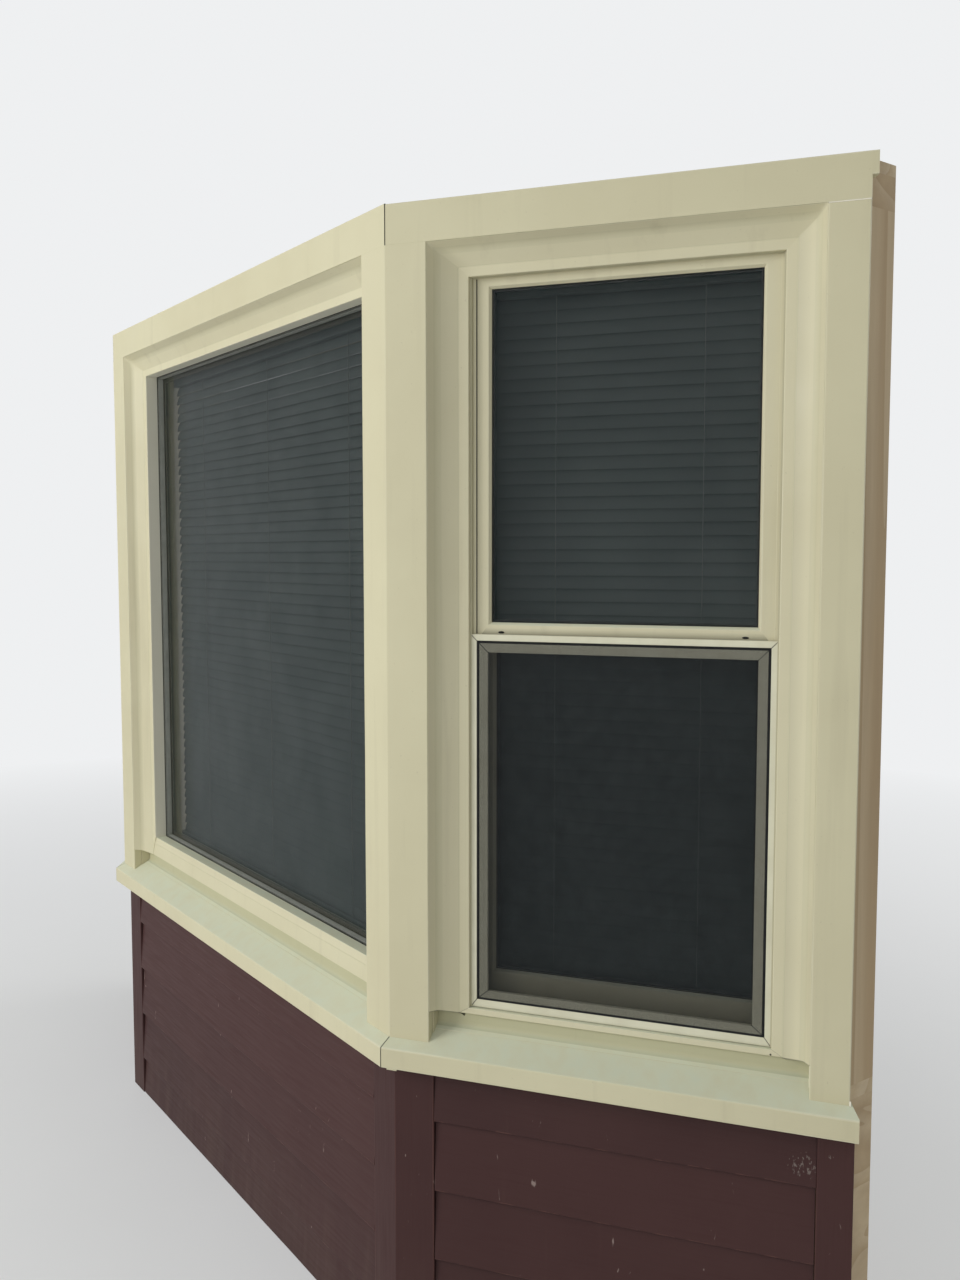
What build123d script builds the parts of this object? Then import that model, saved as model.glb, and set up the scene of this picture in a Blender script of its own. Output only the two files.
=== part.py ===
# Bay window with a lap-sided base, in millimetres
import math
import os

from build123d import *

os.makedirs("parts", exist_ok=True)

# Sizes of the whole bay
front_width = 1508.0
side_width = 829.0
side_angle = 35.0
base_height = 620.0
window_height = 1588.0
throat_depth = 80.0
wall_thickness = 150.0

# Sizes of the flat casings and the head trim
casing_thickness = 22.0
corner_casing_front = 85.0
corner_casing_side = 80.0
end_casing_width = 65.0
head_trim_height = 74.0
head_ear = 10.0
short_ear_height = 38.0

# Sizes of the sloped sill, which turns up under the frames
sill_nose_out = 24.0
sill_nose_height = 38.5
sill_rise = 77.0
sill_slope_depth = 50.0
sill_end_overhang = 16.0
riser_depth = 45.0
riser_cove = 12.0
riser_end_rise = 9.0
dam_thickness = 2.0
seat_board_thickness = 25.0
seat_board_top = 65.0
top_board_thickness = 19.0

# Sizes of the window frames: a hollow slopes back from the casing to a flat lip round the opening
frame_lip = 2.0
hollow_inset = 12.0
hollow_depth = 21.5
hollow_radius = 24.0
lip_inset = 47.0
lip_depth = 39.0
opening_inset = 66.0
lip_back = 40.5
head_hollow_inset = 16.0
head_lip_inset = 40.0
head_opening_inset = 58.0
frame_foot = 100.0
side_opening_bottom = 111.0
picture_opening_bottom = 152.0
picture_foot_back = 47.0
rib_depths = (56.0, 84.0, 112.0)
rib_thickness = 2.0
rib_reach = 9.0

# Sizes of the sashes, panes and screens
upper_sash_front = 58.0
lower_sash_front = 86.0
sash_thickness = 26.0
sash_stile = 37.0
sash_bevel = 5.0
upper_top_rail = 20.0
meeting_rail = 46.0
lower_top_rail = 58.0
lower_bottom_rail = 64.0
upper_pane_bottom = 836.0
meeting_overlap = 2.0
pane_thickness = 14.0
picture_pane_front = 73.0
picture_pane_thickness = 18.0
picture_bead_width = 16.0
picture_bead_thickness = 14.0
screen_front = 48.0
screen_thickness = 8.0
screen_bar = 34.0
screen_face = 14.0
screen_top = 815.0
spline_width = 4.0
spline_set = 0.7
groove_depth = 2.6
cloth_set = 0.4
flange_depth = 1.2

# Sizes of the blinds
blind_depth = 132.0
slat_width = 28.0
slat_thickness = 1.5
slat_pitch = 24.0
slat_tilt = 72.0
blind_rail_height = 25.0
blind_rail_depth = 26.0
blind_foot_height = 12.0
blind_side_gap = 6.0
cord_size = 2.5
cord_spacing = 420.0

# Sizes of the siding and its boards
board_front = 14.0
board_back = 30.0
corner_board_width = 84.0
end_board_width = 60.0
end_board_past = 9.0
lap_exposure = 136.0
lap_first = 108.0
lap_front = 10.0
lap_back = 22.0

# Heights above the ground
sill_z = base_height
head_z = base_height + window_height - head_trim_height
top_z = base_height + window_height
seat_z = base_height + seat_board_top
frame_z = base_height + sill_rise

# Spare length of the solids that only cut others, and the parts of a round corner
past = 1.0
arc_parts = 5

# Plan lines
half_angle = math.radians(side_angle / 2)
cos_side = math.cos(math.radians(side_angle))
sin_side = math.sin(math.radians(side_angle))
outer_wall_y = side_width * sin_side + casing_thickness * cos_side
rear_y = outer_wall_y + throat_depth
middle_y = (rear_y - sill_nose_out) / 2
slope = (sill_rise - sill_nose_height) / (sill_nose_out + sill_slope_depth)
end_casing_start = side_width - end_casing_width


def corner(depth):
    # The right outer corner of the bay, moved inward by a depth from both faces
    return (front_width / 2 - depth * math.tan(half_angle), depth)


def left_corner(depth):
    # The left outer corner, moved inward in the same way
    return (-corner(depth)[0], depth)


def side_point(along, depth):
    # A plan point on the right face, measured from its front corner
    x = front_width / 2 + along * cos_side - depth * sin_side
    y = along * sin_side + depth * cos_side
    return (x, y)


def side_at_y(depth, y):
    # The plan point where the right face at this depth reaches a given y
    return side_point((y - depth * cos_side) / sin_side, depth)


throat_x = side_at_y(board_back, outer_wall_y)[0]
inner_end = side_at_y(wall_thickness, rear_y)


def prism(points, low, high):
    # An upright solid over a plan outline
    outline = make_face(Polyline(*points, close=True))
    return Pos(0, 0, low) * extrude(outline, high - low, dir=(0, 0, 1))


def bar(points, start, end):
    # A solid along a face, from a section of (depth, height) points
    section = make_face(Plane.YZ * Polyline(*points, close=True))
    return Pos(start, 0, 0) * extrude(section, end - start, dir=(1, 0, 0))


def panel(points, front, back):
    # A solid through a face, from an outline of (along, height) points
    outline = make_face(Plane.XZ * Polyline(*points, close=True))
    return Pos(0, front, 0) * extrude(outline, back - front, dir=(0, 1, 0))


def round_corner(before, middle, after, radius):
    # Points of the arc that touches both lines of a corner
    u = Vector(*before) - Vector(*middle)
    v = Vector(*after) - Vector(*middle)
    half = math.radians(u.get_angle(v)) / 2
    centre = Vector(*middle) + (u.normalized() + v.normalized()).normalized() * (radius / math.sin(half))
    first = Vector(*middle) + u.normalized() * (radius / math.tan(half)) - centre
    last = Vector(*middle) + v.normalized() * (radius / math.tan(half)) - centre
    turn = math.atan2(first.X * last.Y - first.Y * last.X, first.dot(last))
    points = []
    for k in range(arc_parts + 1):
        angle = turn * k / arc_parts
        x = first.X * math.cos(angle) - first.Y * math.sin(angle)
        y = first.X * math.sin(angle) + first.Y * math.cos(angle)
        points.append((centre.X + x, centre.Y + y))
    return points


def block(x0, x1, y0, y1, z0, z1):
    # A box between two corners
    box = Box(x1 - x0, y1 - y0, z1 - z0, align=(Align.MIN, Align.MIN, Align.MIN))
    return Pos(x0, y0, z0) * box


def on_front(solid):
    # From the front face's own frame to the bay
    return Pos(-front_width / 2, 0, 0) * solid


def on_side(solid):
    # From the right face's own frame to the bay
    return Pos(front_width / 2, 0, 0) * Rot(0, 0, side_angle) * solid


def save(name, solid):
    # Moves a piece so that the bay stands centred on the origin
    placed = Pos(0, -middle_y, 0) * solid
    placed.label = name
    export_step(placed, "parts/" + name + ".step")


def save_pair(stem, solid):
    # The right piece and its mirror image on the left
    save(stem + "_right", solid)
    save(stem + "_left", mirror(solid, about=Plane.YZ))


reach = wall_thickness * 2
front_zone = prism(
    [left_corner(-reach), corner(-reach), corner(reach), left_corner(reach)],
    -past,
    top_z + past,
)
side_zone = prism(
    [
        corner(-reach),
        side_point(side_width + reach, -reach),
        side_point(side_width + reach, reach),
        corner(reach),
    ],
    -past,
    top_z + past,
)
outside_wall = block(0, front_width + side_width, -reach, outer_wall_y, -past, top_z + past)


# Base walls of solid thickness
front_wall_plan = [
    left_corner(board_back),
    corner(board_back),
    corner(wall_thickness),
    left_corner(wall_thickness),
]
side_wall_plan = [
    corner(board_back),
    side_at_y(board_back, outer_wall_y),
    (throat_x, rear_y),
    inner_end,
    corner(wall_thickness),
]
wall_top = seat_z - seat_board_thickness
save("knee_wall_front", prism(front_wall_plan, 0, wall_top))
save_pair("knee_wall", prism(side_wall_plan, 0, wall_top))


# Lap siding as one sawtooth section for each face
def lap_depth(height, butt):
    # Depth of the board face at a height above its lower edge
    return lap_front + (lap_back - lap_front) * (height - butt) / lap_exposure


lap_section = [(board_back, sill_z)]
top_of_lap = sill_z
butt = sill_z - lap_first
while top_of_lap > 0:
    low = max(butt, 0)
    lap_section.append((lap_depth(top_of_lap, butt), top_of_lap))
    lap_section.append((lap_depth(low, butt), low))
    top_of_lap = low
    butt = butt - lap_exposure
lap_section.append((board_back, 0))
end_board_start = side_width + end_board_past - end_board_width
save(
    "siding_front",
    on_front(bar(lap_section, corner_board_width, front_width - corner_board_width)),
)
save_pair("siding", on_side(bar(lap_section, corner_board_width, end_board_start)))


# Corner boards and the boards beside the house wall
corner_board_plan = [
    (front_width / 2 - corner_board_width, board_front),
    corner(board_front),
    side_point(corner_board_width, board_front),
    side_point(corner_board_width, board_back),
    corner(board_back),
    (front_width / 2 - corner_board_width, board_back),
]
save_pair("corner_board", prism(corner_board_plan, 0, sill_z))
end_board = on_side(
    block(
        end_board_start,
        side_width + end_board_past,
        board_front,
        board_back,
        0,
        sill_z,
    )
)
save_pair("wall_board", end_board & outside_wall)


# Seat board through the whole bay and into the wall opening
seat_plan = [
    left_corner(board_back),
    corner(board_back),
    side_at_y(board_back, outer_wall_y),
    (throat_x, rear_y),
    (-throat_x, rear_y),
    (-side_at_y(board_back, outer_wall_y)[0], outer_wall_y),
]
save("seat_board", prism(seat_plan, wall_top, seat_z))


# Sloped sill, with its nose in front and its wedge under the frames
def slope_height(depth):
    # Height of the sloped top at a depth behind the casing face
    return sill_nose_height + slope * (depth + sill_nose_out)


nose_section = [
    (-sill_nose_out, sill_z),
    (-sill_nose_out, sill_z + sill_nose_height),
    (casing_thickness, sill_z + slope_height(casing_thickness)),
    (board_back, sill_z + slope_height(casing_thickness)),
    (board_back, sill_z),
]
wedge_section = [
    (casing_thickness, sill_z + slope_height(casing_thickness)),
    (sill_slope_depth, frame_z),
    (wall_thickness, frame_z),
    (wall_thickness, seat_z),
    (board_back, seat_z),
    (board_back, sill_z + slope_height(casing_thickness)),
]
under_slope_section = [
    (-reach, 0),
    (-reach, sill_z + slope_height(-reach)),
    (sill_slope_depth, frame_z),
    (reach, frame_z),
    (reach, 0),
]
riser_foot = (riser_depth, sill_z + slope_height(riser_depth))
slope_start = (casing_thickness, sill_z + slope_height(casing_thickness))
cove = round_corner(slope_start, riser_foot, (riser_depth, top_z), riser_cove)
riser_section = cove + [
    (riser_depth, top_z),
    (sill_slope_depth, top_z),
    (sill_slope_depth, seat_z),
    (cove[0][0], seat_z),
]
dam_section = [
    (casing_thickness, seat_z),
    (casing_thickness, top_z),
    (sill_slope_depth, top_z),
    (sill_slope_depth, seat_z),
]


def foot_space(width):
    # The space under a frame's front bands, whose feet rise a little toward the casings
    foot = sill_z + frame_foot
    points = [
        (0, sill_z),
        (width, sill_z),
        (width, foot + riser_end_rise),
        (width - lip_inset, foot),
        (lip_inset, foot),
        (0, foot + riser_end_rise),
    ]
    return panel(points, -past, sill_slope_depth)


def sill_wedge(width):
    # The sill between two casings: its slope, the riser under the frame and an upright dam at each end
    turned_up = bar(riser_section, 0, width)
    turned_up = turned_up + bar(dam_section, 0, dam_thickness)
    turned_up = turned_up + bar(dam_section, width - dam_thickness, width)
    return bar(wedge_section, 0, width) + (turned_up & foot_space(width))


side_frame_width = end_casing_start - corner_casing_side
picture_frame_width = front_width - 2 * corner_casing_front
sill_end = side_width + sill_end_overhang
nose_front = on_front(bar(nose_section, -reach, front_width + reach)) & front_zone
wedge_front = on_front(Pos(corner_casing_front, 0, 0) * sill_wedge(picture_frame_width))
save("sill_front", nose_front + wedge_front)
nose_side = on_side(bar(nose_section, -reach, sill_end)) & side_zone & outside_wall
wedge_side = on_side(Pos(corner_casing_side, 0, 0) * sill_wedge(side_frame_width))
save_pair("sill", nose_side + wedge_side)
under_front = on_front(bar(under_slope_section, -reach, front_width + reach)) & front_zone
under_side = on_side(bar(under_slope_section, -reach, side_width + reach)) & side_zone


# Head: trim, headers and the board that closes the top
head_front_plan = [
    left_corner(0),
    corner(0),
    corner(casing_thickness),
    left_corner(casing_thickness),
]
save("head_trim_front", prism(head_front_plan, head_z, top_z))
head_side_plan = [
    corner(0),
    side_point(side_width + head_ear, 0),
    side_point(side_width + head_ear, casing_thickness),
    corner(casing_thickness),
]
head_side = prism(head_side_plan, head_z, top_z)
ear_cut = on_side(
    block(
        side_width,
        side_width + head_ear * 2,
        -head_ear,
        casing_thickness + head_ear,
        head_z - past,
        top_z - short_ear_height,
    )
)
save("head_trim_right", (head_side & outside_wall) - ear_cut)
save("head_trim_left", mirror(head_side & outside_wall, about=Plane.YZ))
header_top = top_z - top_board_thickness
header_front_plan = [
    left_corner(casing_thickness),
    corner(casing_thickness),
    corner(wall_thickness),
    left_corner(wall_thickness),
]
post_end = (throat_x - front_width / 2 + casing_thickness * sin_side) / cos_side
post_outer = side_point(post_end, casing_thickness)
header_side_plan = [
    corner(casing_thickness),
    post_outer,
    (throat_x, rear_y),
    inner_end,
    corner(wall_thickness),
]
save("header_front", prism(header_front_plan, head_z, header_top))
save_pair("header", prism(header_side_plan, head_z, header_top))
top_plan = [
    left_corner(casing_thickness),
    corner(casing_thickness),
    post_outer,
    (throat_x, rear_y),
    (-throat_x, rear_y),
    (-post_outer[0], post_outer[1]),
]
save("top_board", prism(top_plan, header_top, top_z))


# Posts between the windows and at the wall
corner_post_plan = [
    (front_width / 2 - corner_casing_front, casing_thickness),
    corner(casing_thickness),
    side_point(corner_casing_side, casing_thickness),
    side_point(corner_casing_side, wall_thickness),
    corner(wall_thickness),
    (front_width / 2 - corner_casing_front, wall_thickness),
]
save_pair("corner_post", prism(corner_post_plan, seat_z, head_z))
wall_post_plan = [
    side_point(end_casing_start, casing_thickness),
    post_outer,
    (throat_x, rear_y),
    inner_end,
    side_point(end_casing_start, wall_thickness),
]
save_pair("wall_post", prism(wall_post_plan, seat_z, head_z))


# Casings, cut to the sill's slope at their feet
corner_casing_plan = [
    (front_width / 2 - corner_casing_front, 0),
    corner(0),
    side_point(corner_casing_side, 0),
    side_point(corner_casing_side, casing_thickness),
    corner(casing_thickness),
    (front_width / 2 - corner_casing_front, casing_thickness),
]
corner_casing = prism(corner_casing_plan, sill_z, head_z)
save_pair("corner_casing", corner_casing - under_front - under_side)
end_casing = on_side(
    block(end_casing_start, side_width, 0, casing_thickness, sill_z, head_z)
)
save_pair("end_casing", end_casing - under_side)


# Window frames, each a ring with a hollow and a lip in front of the opening
def tapered(width, depth0, depth1, side0, side1, low0, low1, high0, high1):
    # A tapering void between two upright rectangles
    corners = []
    for depth, inset, low, high in ((depth0, side0, low0, high0), (depth1, side1, low1, high1)):
        rectangle = Polyline(
            (inset, depth, low),
            (width - inset, depth, low),
            (width - inset, depth, high),
            (inset, depth, high),
            close=True,
        )
        corners.append(make_face(rectangle))
    return loft(corners)


hollow = round_corner(
    (0, frame_lip), (hollow_inset, hollow_depth), (lip_inset, lip_depth), hollow_radius
)
frame_section = [(0, frame_lip)] + hollow + [(lip_inset, lip_depth), (opening_inset, lip_back)]


def head_inset(inset):
    # The inset at the head for a point of the jambs' section: only the outermost part is as wide
    if inset <= head_hollow_inset:
        return inset
    if inset <= lip_inset:
        share = (inset - head_hollow_inset) / (lip_inset - head_hollow_inset)
        return head_hollow_inset + share * (head_lip_inset - head_hollow_inset)
    share = (inset - lip_inset) / (opening_inset - lip_inset)
    return head_lip_inset + share * (head_opening_inset - head_lip_inset)


def window_frame(width, opening_bottom):
    # A frame in the face's own frame, its outer corner at zero
    ring = block(0, width, frame_lip, wall_thickness, sill_z, head_z)
    foot = sill_z + frame_foot
    low_end = sill_z + opening_bottom
    for k in range(len(frame_section) - 1):
        inset, depth = frame_section[k]
        next_inset, next_depth = frame_section[k + 1]
        at_lip = k == len(frame_section) - 2
        ring = ring - tapered(
            width,
            depth,
            next_depth,
            inset,
            next_inset,
            foot if at_lip else sill_z,
            low_end if at_lip else sill_z,
            head_z - head_inset(inset),
            head_z - head_inset(next_inset),
        )
    ring = ring - block(
        opening_inset,
        width - opening_inset,
        lip_back,
        wall_thickness + past,
        low_end,
        head_z - head_opening_inset,
    )
    return ring - foot_space(width) - bar(under_slope_section, -past, width + past)


picture_frame = window_frame(picture_frame_width, picture_opening_bottom)
picture_foot_slope = [
    (lip_depth, sill_z + frame_foot),
    (picture_foot_back, sill_z + picture_opening_bottom),
    (lip_depth - past, sill_z + picture_opening_bottom),
]
picture_opening_end = picture_frame_width - opening_inset
picture_frame = picture_frame - bar(picture_foot_slope, opening_inset, picture_opening_end)
save("picture_frame", on_front(Pos(corner_casing_front, 0, 0) * picture_frame))

side_frame = window_frame(side_frame_width, side_opening_bottom)
for rib_front in rib_depths:
    for rib_start in (opening_inset, side_frame_width - opening_inset - rib_reach):
        side_frame = side_frame + block(
            rib_start,
            rib_start + rib_reach,
            rib_front,
            rib_front + rib_thickness,
            sill_z + side_opening_bottom,
            head_z - head_opening_inset,
        )
save_pair("side_frame", on_side(Pos(corner_casing_side, 0, 0) * side_frame))

# Openings inside the frames
opening_head = head_z - head_opening_inset
side_left = corner_casing_side + opening_inset
side_right = end_casing_start - opening_inset
side_low = sill_z + side_opening_bottom
picture_left = corner_casing_front + opening_inset
picture_right = front_width - picture_left
picture_low = sill_z + picture_opening_bottom


# Fixed pane of the front window and the bead behind it
picture_pane_back = picture_pane_front + picture_pane_thickness
save(
    "picture_glass",
    on_front(
        block(
            picture_left,
            picture_right,
            picture_pane_front,
            picture_pane_back,
            picture_low,
            opening_head,
        )
    ),
)
bead = block(
    picture_left,
    picture_right,
    picture_pane_back,
    picture_pane_back + picture_bead_thickness,
    picture_low,
    opening_head,
)
bead_hole = block(
    picture_left + picture_bead_width,
    picture_right - picture_bead_width,
    picture_pane_back - past,
    picture_pane_back + picture_bead_thickness + past,
    picture_low + picture_bead_width,
    opening_head - picture_bead_width,
)
save("picture_bead", on_front(bead - bead_hole))


# Sashes of the side windows, with their panes
def sash(front, low, high, bottom_rail, top_rail):
    # A sash ring with a bevelled inner edge, and its pane
    width = side_right - side_left
    ring = block(0, width, front, front + sash_thickness, low, high)
    pane_front = front + (sash_thickness - pane_thickness) / 2
    pane_low = low + bottom_rail
    pane_high = high - top_rail
    ring = ring - tapered(
        width,
        front,
        pane_front,
        sash_stile - sash_bevel,
        sash_stile,
        pane_low - sash_bevel,
        pane_low,
        pane_high + sash_bevel,
        pane_high,
    )
    ring = ring - block(
        sash_stile,
        width - sash_stile,
        pane_front,
        front + sash_thickness + past,
        pane_low,
        pane_high,
    )
    pane = block(
        sash_stile,
        width - sash_stile,
        pane_front,
        pane_front + pane_thickness,
        pane_low,
        pane_high,
    )
    shift = Pos(side_left, 0, 0)
    return on_side(shift * ring), on_side(shift * pane)


meeting_low = sill_z + upper_pane_bottom - meeting_rail
meeting_high = sill_z + upper_pane_bottom + meeting_overlap
upper_sash, upper_pane = sash(
    upper_sash_front,
    meeting_low,
    opening_head,
    meeting_rail,
    upper_top_rail,
)
lower_sash, lower_pane = sash(
    lower_sash_front,
    side_low,
    meeting_high,
    lower_bottom_rail,
    lower_top_rail,
)
save_pair("upper_sash", upper_sash)
save_pair("upper_glass", upper_pane)
save_pair("lower_sash", lower_sash)
save_pair("lower_glass", lower_pane)


# Half screens in front of the lower sashes
screen_high = sill_z + screen_top


def screen_plate(inset, front, back):
    # A rectangular plate, moved in from the opening on all four sides
    low = side_low + inset
    high = screen_high - inset
    return block(side_left + inset, side_right - inset, front, back, low, high)


def screen_ring(inner, outer, front, back):
    # A rectangular ring between two insets
    return screen_plate(outer, front, back) - screen_plate(inner, front - past, back + past)


groove_end = screen_face + spline_width
groove_floor = screen_front + groove_depth
flange_front = screen_front + flange_depth
screen = screen_ring(screen_bar, 0, screen_front, screen_front + screen_thickness)
screen = screen - screen_ring(screen_bar + past, groove_end, screen_front - past, flange_front)
screen = screen - screen_ring(groove_end, screen_face, screen_front - past, groove_floor)
spline = screen_ring(groove_end, screen_face, screen_front + spline_set, groove_floor)
screen_cloth = screen_plate(groove_end, screen_front + cloth_set, flange_front) + spline
save_pair("screen_frame", on_side(screen))
save_pair("screen_cloth", on_side(screen_cloth))


# Blinds behind the glass
def blind(left, right, low, high):
    # A head rail, tilted slats, a foot rail and the cords through them
    x0 = left + blind_side_gap
    x1 = right - blind_side_gap
    y0 = blind_depth - blind_rail_depth / 2
    rail = block(x0, x1, y0, y0 + blind_rail_depth, high - blind_rail_height, high)
    foot = block(
        x0,
        x1,
        blind_depth - slat_width / 2,
        blind_depth + slat_width / 2,
        low,
        low + blind_foot_height,
    )
    pieces = [foot]
    run = high - blind_rail_height - low - blind_foot_height
    count = int(run / slat_pitch)
    slat = Box(x1 - x0, slat_width, slat_thickness)
    for k in range(count):
        height = low + blind_foot_height + (k + 0.5) * run / count
        place = Pos((x0 + x1) / 2, blind_depth, height)
        pieces.append(place * Rot(slat_tilt, 0, 0) * slat)
    cords = max(2, int((x1 - x0) / cord_spacing) + 1)
    inset = (x1 - x0) / cords / 2
    for k in range(cords):
        x = x0 + inset + k * (x1 - x0 - 2 * inset) / (cords - 1)
        y = blind_depth - cord_size / 2
        cord = block(
            x - cord_size / 2,
            x + cord_size / 2,
            y,
            y + cord_size,
            low + blind_foot_height / 2,
            high - blind_rail_height / 2,
        )
        pieces.append(cord)
    return rail.fuse(*pieces)


save("blind_front", on_front(blind(picture_left, picture_right, picture_low, opening_head)))
save_pair("blind", on_side(blind(side_left, side_right, side_low, opening_head)))
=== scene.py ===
import math

import bpy
import numpy as np
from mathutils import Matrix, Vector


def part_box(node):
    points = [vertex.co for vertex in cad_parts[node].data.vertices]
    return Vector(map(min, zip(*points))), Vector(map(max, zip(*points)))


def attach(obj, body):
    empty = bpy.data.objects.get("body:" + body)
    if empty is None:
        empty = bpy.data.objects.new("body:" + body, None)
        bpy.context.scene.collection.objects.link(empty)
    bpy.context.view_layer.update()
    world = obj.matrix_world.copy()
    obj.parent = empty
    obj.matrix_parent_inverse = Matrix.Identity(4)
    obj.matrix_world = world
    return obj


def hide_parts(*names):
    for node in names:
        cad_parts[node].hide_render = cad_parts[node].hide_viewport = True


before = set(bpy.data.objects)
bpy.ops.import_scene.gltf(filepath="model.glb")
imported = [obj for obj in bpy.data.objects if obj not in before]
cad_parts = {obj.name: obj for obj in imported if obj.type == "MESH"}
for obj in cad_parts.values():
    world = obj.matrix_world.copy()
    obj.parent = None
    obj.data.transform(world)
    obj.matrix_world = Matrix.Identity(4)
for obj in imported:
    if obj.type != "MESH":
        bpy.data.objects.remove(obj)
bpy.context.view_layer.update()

# Sizes that the frame gives
trim_low, trim_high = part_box("head_trim_front")
front_width = trim_high.x - trim_low.x
face_y = trim_low.y
head_z = trim_low.z
top_z = trim_high.z
sill_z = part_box("sill_front")[0].z
back_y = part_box("head_trim_right")[1].y

# Plan of the bay
side_width = 0.829
side_angle = math.radians(35)
cos_side = math.cos(side_angle)
sin_side = math.sin(side_angle)
mitre = math.tan(side_angle / 2)
wall_thickness = 0.150

# Casings and head trim
casing_thickness = 0.022
corner_casing_front = 0.085
corner_casing_side = 0.080
end_casing_width = 0.065
end_casing_start = side_width - end_casing_width
head_ear = 0.010
short_ear_height = 0.038
ear_setback = 0.0004
ear_overlap = 0.004
side_trim_drop = 0.0015
head_seam = 0.0018
soiled_end = 0.0014
fold_radius = 0.0016
crisp_radius = 0.0004
trim_dent = 0.0006

# Filler over the end casings and at their feet
caulk_size = 0.0018
caulk_proud = caulk_size * 0.3
caulk_inset = 0.0005
caulk_radius = caulk_size * 0.4
caulk_dent = 0.0003
caulk_step = 0.02
dab_height = 0.0080
dab_start = 0.0010
dab_radius = caulk_size * 0.8
dab_dent = 0.0004
dab_step = 0.001

# Sill
nose_out = 0.024
nose_height = 0.0385
nose_radii = (0.0016, 0.003, 0.001, 0.001)
sill_rise = 0.077
slope_end = 0.050
slope = (sill_rise - nose_height) / (nose_out + slope_end)
sill_end_overhang = 0.016
sill_lap = 0.031
sill_seam = 0.0012
sill_dent = 0.0005
seat_top = 0.065
riser_depth = 0.045
riser_cove = 0.012
wedge_tuck = 0.0006
wedge_clearance = 0.0005
wedge_radii = (0.0005, 0.0005, riser_cove, 0.0008, 0.0002, 0.0002, 0.0005, 0.0005)
riser_end_rise = 0.009
riser_gap = 0.0002
riser_radius = 0.0003
dam_thickness = 0.002
dam_root = 0.010
riser_corner_root = 0.004
tab_start = 0.004
tab_end = 0.024
tab_drop = 0.0028
tab_setback = 0.0015
tab_thickness = 0.0013
tab_root = 0.001
tab_step = 0.004

# Window frames: a hollow slopes back from the casing to a flat lip round the opening
jamb_insets = (0.0, 0.016, 0.047, 0.066)
head_insets = (0.0, 0.016, 0.040, 0.058)
frame_lip = 0.0008
frame_lip_radius = 0.0005
hollow_inset = 0.012
hollow_depth = 0.0215
hollow_radius = 0.024
fill_reach = 0.018
fill_fade = 0.020
fill_slope = 1.6
fill_rows = (0.001, 0.003, 0.006, 0.010, 0.015, 0.021, 0.028, 0.036, 0.046)
lip_inset = 0.047
lip_depth = 0.039
lip_back = 0.0405
lip_radius = 0.0050
opening_inset = 0.066
opening_radius = 0.0016
frame_back_radius = 0.001
frame_step = 0.09
frame_foot = 0.100
foot_radius = 0.0012
side_foot = 0.111
side_foot_toe = (0.0002, 0.003)
picture_foot = 0.152
picture_foot_toe = (0.0006, 0.004)
picture_foot_bevel = ((0.0414, 0.1330), (0.0406, 0.1355), (0.0440, picture_foot))
rib_depths = (0.056, 0.084, 0.112)
rib_thickness = 0.002
rib_reach = 0.009
rib_groove = 0.0030
rib_radius = 0.0004
rib_share_over_opening = 0.1
track_start = 0.0002
tolerance = 0.001

# Openings inside the frames
side_left = corner_casing_side + opening_inset
side_right = end_casing_start - opening_inset
side_low = sill_z + side_foot
picture_left = corner_casing_front + opening_inset
picture_right = front_width - picture_left
picture_low = sill_z + picture_foot
top_of_opening = head_z - head_insets[3]

# Sashes and panes
upper_sash_front = 0.058
lower_sash_front = 0.086
sash_thickness = 0.026
sash_stile = 0.037
sash_bevel = 0.005
sash_edge = 0.0008
sash_radii = (0.001, 0.0016, 0.0008, 0.001, 0.001)
sash_foot = 0.01
bar_step = 0.12
upper_top_rail = 0.020
meeting_rail = 0.046
meeting_lap = 0.002
lower_top_rail = 0.058
lower_bottom_rail = 0.064
upper_pane_bottom = 0.836
weld_seam = 0.0001
pane_thickness = 0.014
pane_setback = 0.006
pane_edge_radius = 0.0006
pane_step = 0.4
pane_ring_step = 0.2
picture_pane_front = 0.073
picture_pane_thickness = 0.018
sheet_thickness = 0.002
gasket_width = 0.0012
gasket_thickness = 0.0012
spacer_width = 0.0045
spacer_radius = 0.0008
bead_width = 0.016
bead_thickness = 0.014
bead_slope = 0.005
bead_radius = 0.0012

# Screens
screen_front = 0.048
screen_back = 0.056
screen_gap = 0.0008
screen_foot_gap = 0.0004
screen_foot_face = 0.0160
screen_bar = 0.034
screen_face = 0.0125
screen_radii = (0.0012, 0.0006, 0.0004, 0.0004, 0.0004, 0.0008, 0.0008, 0.0008)
screen_top = 0.815
bar_seam = 0.0007
bar_soil = 0.0014
flange_drop = 0.0012
spline_width = 0.0046
spline_drop = 0.0026
spline_rise = 0.0017
spline_gap = 0.0001
spline_radius = 0.0008
mesh_pitch = 0.0016
mesh_gap = 0.0002
mesh_tuck = 0.001
thread_size = 0.00030

# Weather strip of the side windows, and dark plugs as painted shade in their drain slots and screw hole
strip_width = 0.0016
strip_gap = 0.0003
strip_head = 0.002
strip_radius = 0.0005
slot_inset = 0.057
slot_length = 0.0115
slot_width = 0.0042
slot_rise = 0.0030
slot_proud = 0.0006
screw_size = 0.0030
screw_rise = 0.0026
screw_inset = 0.001
screw_proud = 0.0002
plug_thickness = 0.001

# Blinds
blind_depth = 0.132
slat_width = 0.028
slat_crown = 0.0022
slat_thickness = 0.0006
slat_pitch = 0.024
slat_tilt = math.radians(72)
slat_shift = 0.0015
slat_sag = 0.0008
blind_rail_height = 0.025
blind_rail_depth = 0.026
blind_rail_radius = 0.002
blind_head_gap = 0.001
blind_foot_height = 0.012
blind_foot_radius = 0.004
blind_side_gap = 0.006
blind_step = 0.3
cord_size = 0.0014
cord_radius = cord_size * 0.3
cord_spacing = 0.420
cord_offset = slat_width * 0.33

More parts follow.
